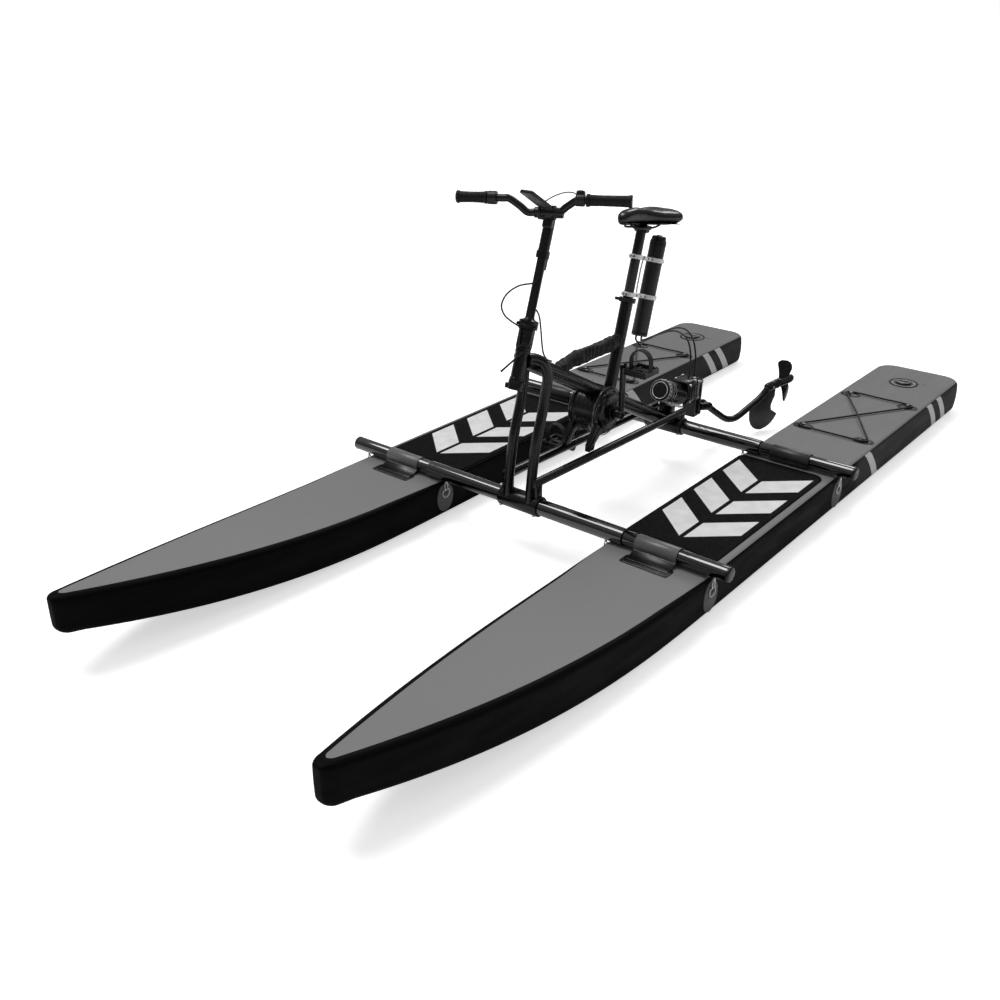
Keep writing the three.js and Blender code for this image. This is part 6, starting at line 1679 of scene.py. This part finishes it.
class WATERBIKE_OT_motor(bpy.types.Operator):
    """Finned motor can with bright front ring, gearbox, mounting plate and bolts."""

    bl_idname = "waterbike.motor"
    bl_label = "Motor"

    def execute(self, context):
        form, bright, steel = Form(), Form(), Form()
        tilt = math.radians(22)
        start = np.array([0, 400.0, 315.0])
        way = np.array([0, math.cos(tilt), -math.sin(tilt)])
        end = start + way * 160
        profile = [(2, 0), (30, 0), (36, 0.6), (39.5, 2.2), (43, 4.4), (43, 13), (42, 14), (39, 14)]
        for at in np.arange(20, 150, 8.2):
            profile += [(37, at), (37, at + 3.4), (41.5, at + 3.6), (41.5, at + 7.4)]
        profile += [(38, 152), (38, 154), (31, 160), (2, 160)]
        form.turned(profile, start, end, 72)
        for k in range(20):
            a = math.radians(k * 18)
            base = start + way * 8 + 41 * np.array([math.cos(a), math.sin(a) * math.sin(tilt),
                math.sin(a) * math.cos(tilt)])
            form.turned([(0.8, -4.2), (3.6, -4.2), (3.6, 4.2), (0.8, 4.2)], base, base + way, 10)
        outline = rounded_outline((-42, 222), (42, 312), 16)
        form.plate(outline, 542, 630, edge=3, axis="Y")
        for at in (556, 574, 592, 610):
            form.plate(rounded_outline((-43.5, 226), (43.5, 308), 16), at, at + 5, edge=1.2, axis="Y")
        form.block((-26, 445, 196), (26, 481, 280), 3)
        make_piece("motor_case", form, "platform", "drum", ["motor"])
        for at, out in ((3.0, 41.9), (7.6, 43.8), (12.2, 43.8)):
            bright.turned([(out - 2.5, at), (out - 0.4, at), (out + 0.3, at + 0.9), (out - 0.4, at + 1.9),
                (out - 2.5, at + 1.9)], start, end, 72, loop=True)
        for at in (23.6, 40.0, 56.4):
            bright.turned([(40.6, at), (42.1, at), (42.1, at + 1.7), (40.6, at + 1.7)], start, end, 72, loop=True)
        bright.turned([(30, 0.5), (30, -1.2), (31.2, -1.7), (32.6, -1.2), (32.6, 0.5)], start, end, 56, loop=True)
        plate = [(398, 274), (412, 258), (440, 252), (462, 246), (478, 232), (505, 226)]
        plate += [(505, 231), (482, 237), (466, 251), (442, 257), (415, 263), (402, 277)]
        bright.plate(plate, 24, 47, edge=1, axis="X")
        make_piece("motor_bright_trim", bright, "platform", "alloy")
        bolt = [(0.8, -3), (4.6, -3), (5, 0.6), (5, 3.4), (3.6, 4.4), (0.8, 4.4)]
        for x, y, z in ((45.5, 420, 268), (43, 556, 300), (43, 620, 300), (43, 556, 234), (43, 620, 234),
                (43, 590, 312)):
            steel.turned(bolt, (x, y, z), (x + 1, y, z), 18)
        for y in (560, 612):
            for x in (-26, 26):
                steel.turned(bolt, (x, y, 312), (x, y, 313), 18)
        make_piece("motor_bolts", steel, "platform", "steel")
        self.bracket()
        return {"FINISHED"}

    def bracket(self):
        form = Form()
        front, axis = 630.3, SWIVEL_Y
        form.plate(rounded_outline((-27, 142), (27, 304), 6), front, front + 12, edge=1.6, axis="Y")
        for low in (142, 270):
            nose = np.vstack([[[-27, front + 1]], [[27, front + 1]], arc((0, axis), 27, 0, 180, 24)])
            form.plate(nose, low, low + 11, edge=1.4)
        form.turned(pin(9, 154, 1, 1, 2), (0, axis, 136), (0, axis, 289), 32)
        form.turned([(2, 0), (13, 0), (14, 1), (14, 6), (12, 8), (2, 8)], (0, axis, 281.2), (0, axis, 290), 6)
        make_piece("swivel_bracket_skin", form, "platform", "tube", ["swivel_bracket"], "alloy")
        head = Form(TOWED)
        head.turned(collar(9.5, 25, 116, 0.5, 0.4, 1, 1), (0, 0, 153.4), (0, 0, 269.6), 48, loop=True)
        head.block((-24, 18, 155), (24, 33, 183), 3)
        for side in (-1, 1):
            low, high = sorted((side * 15.2, side * 24))
            ear = np.vstack([[[26, 155]], arc((56, 166), 17, -60, 90, 18), [[26, 183]]])
            head.plate(ear, low, high, edge=1.2, axis="X")
        head.turned(pin(6, 56, 0.8, 0.8, 1), (-28, 56, 166), (28, 56, 166), 24)
        make_piece("swivel_head_skin", head, "leg_head", "tube", ["swivel_head"])


def towed_leg_line():
    """The leg's centre line in the drive's own frame: it dips from its joint and rises to the screw's housing."""
    end = along_shaft(-29 - 0.3 - 62 + 14)
    joint = np.array([0, 56.0, 166.0])
    reach, dip = end[1] - joint[1], 166 * 0.53
    rows = [joint + (0, 11, -7)]
    rows += [joint + (0, reach * a, -dip * b) for a, b in ((0.2, 0.55), (0.37, 0.94), (0.5, 0.96), (0.68, 0.62),
        (0.88, 0.16))]
    return evenly(smooth_line(rows + [end], 120), 90)


def along_shaft(distance):
    """A place on the screw's axis, in the drive's own frame."""
    slope = math.radians(SHAFT_TILT)
    return np.array([0, SHAFT_FOOT[1] + distance * math.cos(slope), SHAFT_FOOT[2] + distance * math.sin(slope)])


class WATERBIKE_OT_leg(bpy.types.Operator):
    """Bent drive leg, screw housing, fin and the two-bladed screw."""

    bl_idname = "waterbike.leg"
    bl_label = "Drive leg and screw"

    def execute(self, context):
        leg = Form(TOWED)
        leg.sweep(towed_leg_line(), 13.2, 40)
        leg.turned(collar(6.5, 15, 29.3, 0.5, 0.4, 1, 1), (-14.65, 56, 166), (14.65, 56, 166), 40, loop=True)
        leg.turned([(2, 0), (13, 0), (15.2, 1.6), (16.5, 8), (18, 15), (18, 60), (16.6, 62), (2, 62)],
            along_shaft(-91.3), along_shaft(-29.3), 44)
        leg.turned([(15, 0), (18.8, 0.4), (19.4, 1.2), (19.4, 6.8), (18.8, 7.6), (15, 8)], along_shaft(-45),
            along_shaft(-37), 44)
        make_piece("leg_tube", leg, "tilting_leg", "tube", ["drive_leg"], crease=45)
        bolts = Form(TOWED)
        for at in (-78, -58):
            base = along_shaft(at) + np.array([0, 0, 17.5])
            bolts.turned([(0.8, -2), (4, -2), (4.4, 0.5), (4.4, 3), (3.4, 3.8), (0.8, 3.8)], base, base + (0, 0, 1), 16)
        base = along_shaft(-66) + np.array([17.5, 0, 0])
        bolts.turned([(0.8, -2), (4, -2), (4.4, 0.5), (4.4, 2.4), (3.4, 3.2), (0.8, 3.2)], base, base + (1, 0, 0), 16)
        make_piece("leg_bolts", bolts, "tilting_leg", "steel")
        self.fin()
        self.screw()
        return {"FINISHED"}

    def fin(self):
        rear, front = along_shaft(-29.3 - 12), along_shaft(-91.3)

        def bow(a, middle, b, steps=14):
            t = np.linspace(0, 1, steps)[:, None]
            a, middle, b = (np.asarray(p, float) for p in (a, middle, b))
            return a * (1 - t) ** 2 + 2 * middle * t * (1 - t) + b * t**2

        low = 12.0
        outline = np.vstack(
            [
                [[rear[1], rear[2] - 14], [front[1] + 8, front[2] - 15]],
                [[front[1] - 22, front[2] - 22]],
                bow((300, 126), (285, 101), (289, 76)),
                bow((289, 76), (297, low), (352, 6))[1:],
                bow((352, 6), (410, low), (432, 66))[1:],
                bow((402, 86), (388, 104), (rear[1], 146)),
            ]
        )
        form = Form().plate(outline, -4.5, 4.5, edge=2.4, axis="X", place=TOWED)
        make_piece("fin_blade", form, "tilting_leg", "fin", ["fin"], "fin_grey")

    def screw(self):
        form = Form()
        place = TOWED @ Matrix.Translation(SHAFT_FOOT) @ turn(SHAFT_TILT, "X")
        form.turned([(2, 0), (18.2, 0), (19, 1), (19, 57), (18, 62), (15.2, 69), (10, 75), (5, 77.4), (1, 78)],
            (0, -29, 0), (0, 49, 0), 48, place=place)
        for half_turn in (0, 180):
            form.rings(screw_blade(), place=place @ turn(half_turn, "Y"))
        make_piece("screw_skin", form, "screw", "screw", ["propeller"], "screw_black", crease=60)


def screw_blade():
    """Rings from the root to the tip. A ring is a thin oval across the blade, turned by the pitch at its radius and
    swept sideways into a crescent."""
    share = 1 - np.linspace(1, 0, 48) ** 1.8
    known = [0, 0.2, 0.4, 0.6, 0.8, 0.93, 1]
    wide = 27 * np.interp(share, known, [0.8, 0.95, 1.05, 1.06, 0.96, 0.72, 0.16])
    sweep = 20 * np.interp(share, known, [0, 0.3, 0.5, 0.5, 0.3, 0.05, -0.1])
    root = 19 * 0.7
    height = root + (94 - root) * share
    thick = 2.25 * (1 - 0.6 * share)
    pitch = np.radians(76 - 16 * share)
    angle = circle(32)
    across = wide[:, None] * np.cos(angle) + sweep[:, None]
    deep = thick[:, None] * np.sin(angle)
    x = across * np.cos(pitch)[:, None] - deep * np.sin(pitch)[:, None]
    y = across * np.sin(pitch)[:, None] + deep * np.cos(pitch)[:, None]
    return np.stack([x, y, np.broadcast_to(height[:, None], x.shape)], -1)


# ---- registration -------------------------------------------------------------------------


OPERATORS = (
    WATERBIKE_OT_stage,
    WATERBIKE_OT_cords,
    WATERBIKE_OT_hulls,
    WATERBIKE_OT_deck_pads,
    WATERBIKE_OT_bars,
    WATERBIKE_OT_straps,
    WATERBIKE_OT_frame,
    WATERBIKE_OT_sleeve,
    WATERBIKE_OT_steering,
    WATERBIKE_OT_seat,
    WATERBIKE_OT_saddle,
    WATERBIKE_OT_drum,
    WATERBIKE_OT_pedals,
    WATERBIKE_OT_motor,
    WATERBIKE_OT_leg,
)


class WATERBIKE_PT_pieces(bpy.types.Panel):
    """Lists the settings and the pieces."""

    bl_label = "Water bike"
    bl_space_type = "VIEW_3D"
    bl_region_type = "UI"
    bl_category = "Water bike"

    def draw(self, context):
        for name in SHAPES:
            box = self.layout.box()
            group = settings_of(name)
            for field in group.bl_rna.properties:
                if field.identifier not in ("rna_type", "name"):
                    box.prop(group, field.identifier)
        for operator in OPERATORS:
            self.layout.operator(operator.bl_idname)


def register():
    for kind in (*SHAPES.values(), *OPERATORS, WATERBIKE_PT_pieces):
        bpy.utils.register_class(kind)
    for name, kind in SHAPES.items():
        setattr(bpy.types.Scene, "water_bike_" + name, bpy.props.PointerProperty(type=kind))


def unregister():
    for name in SHAPES:
        delattr(bpy.types.Scene, "water_bike_" + name)
    for kind in (WATERBIKE_PT_pieces, *reversed(OPERATORS), *SHAPES.values()):
        bpy.utils.unregister_class(kind)


def main():
    register()
    make_finishes(settings_of("hull"))
    for operator in OPERATORS:
        group, action = operator.bl_idname.split(".")
        getattr(getattr(bpy.ops, group), action)()


if __name__ == "__main__":
    main()
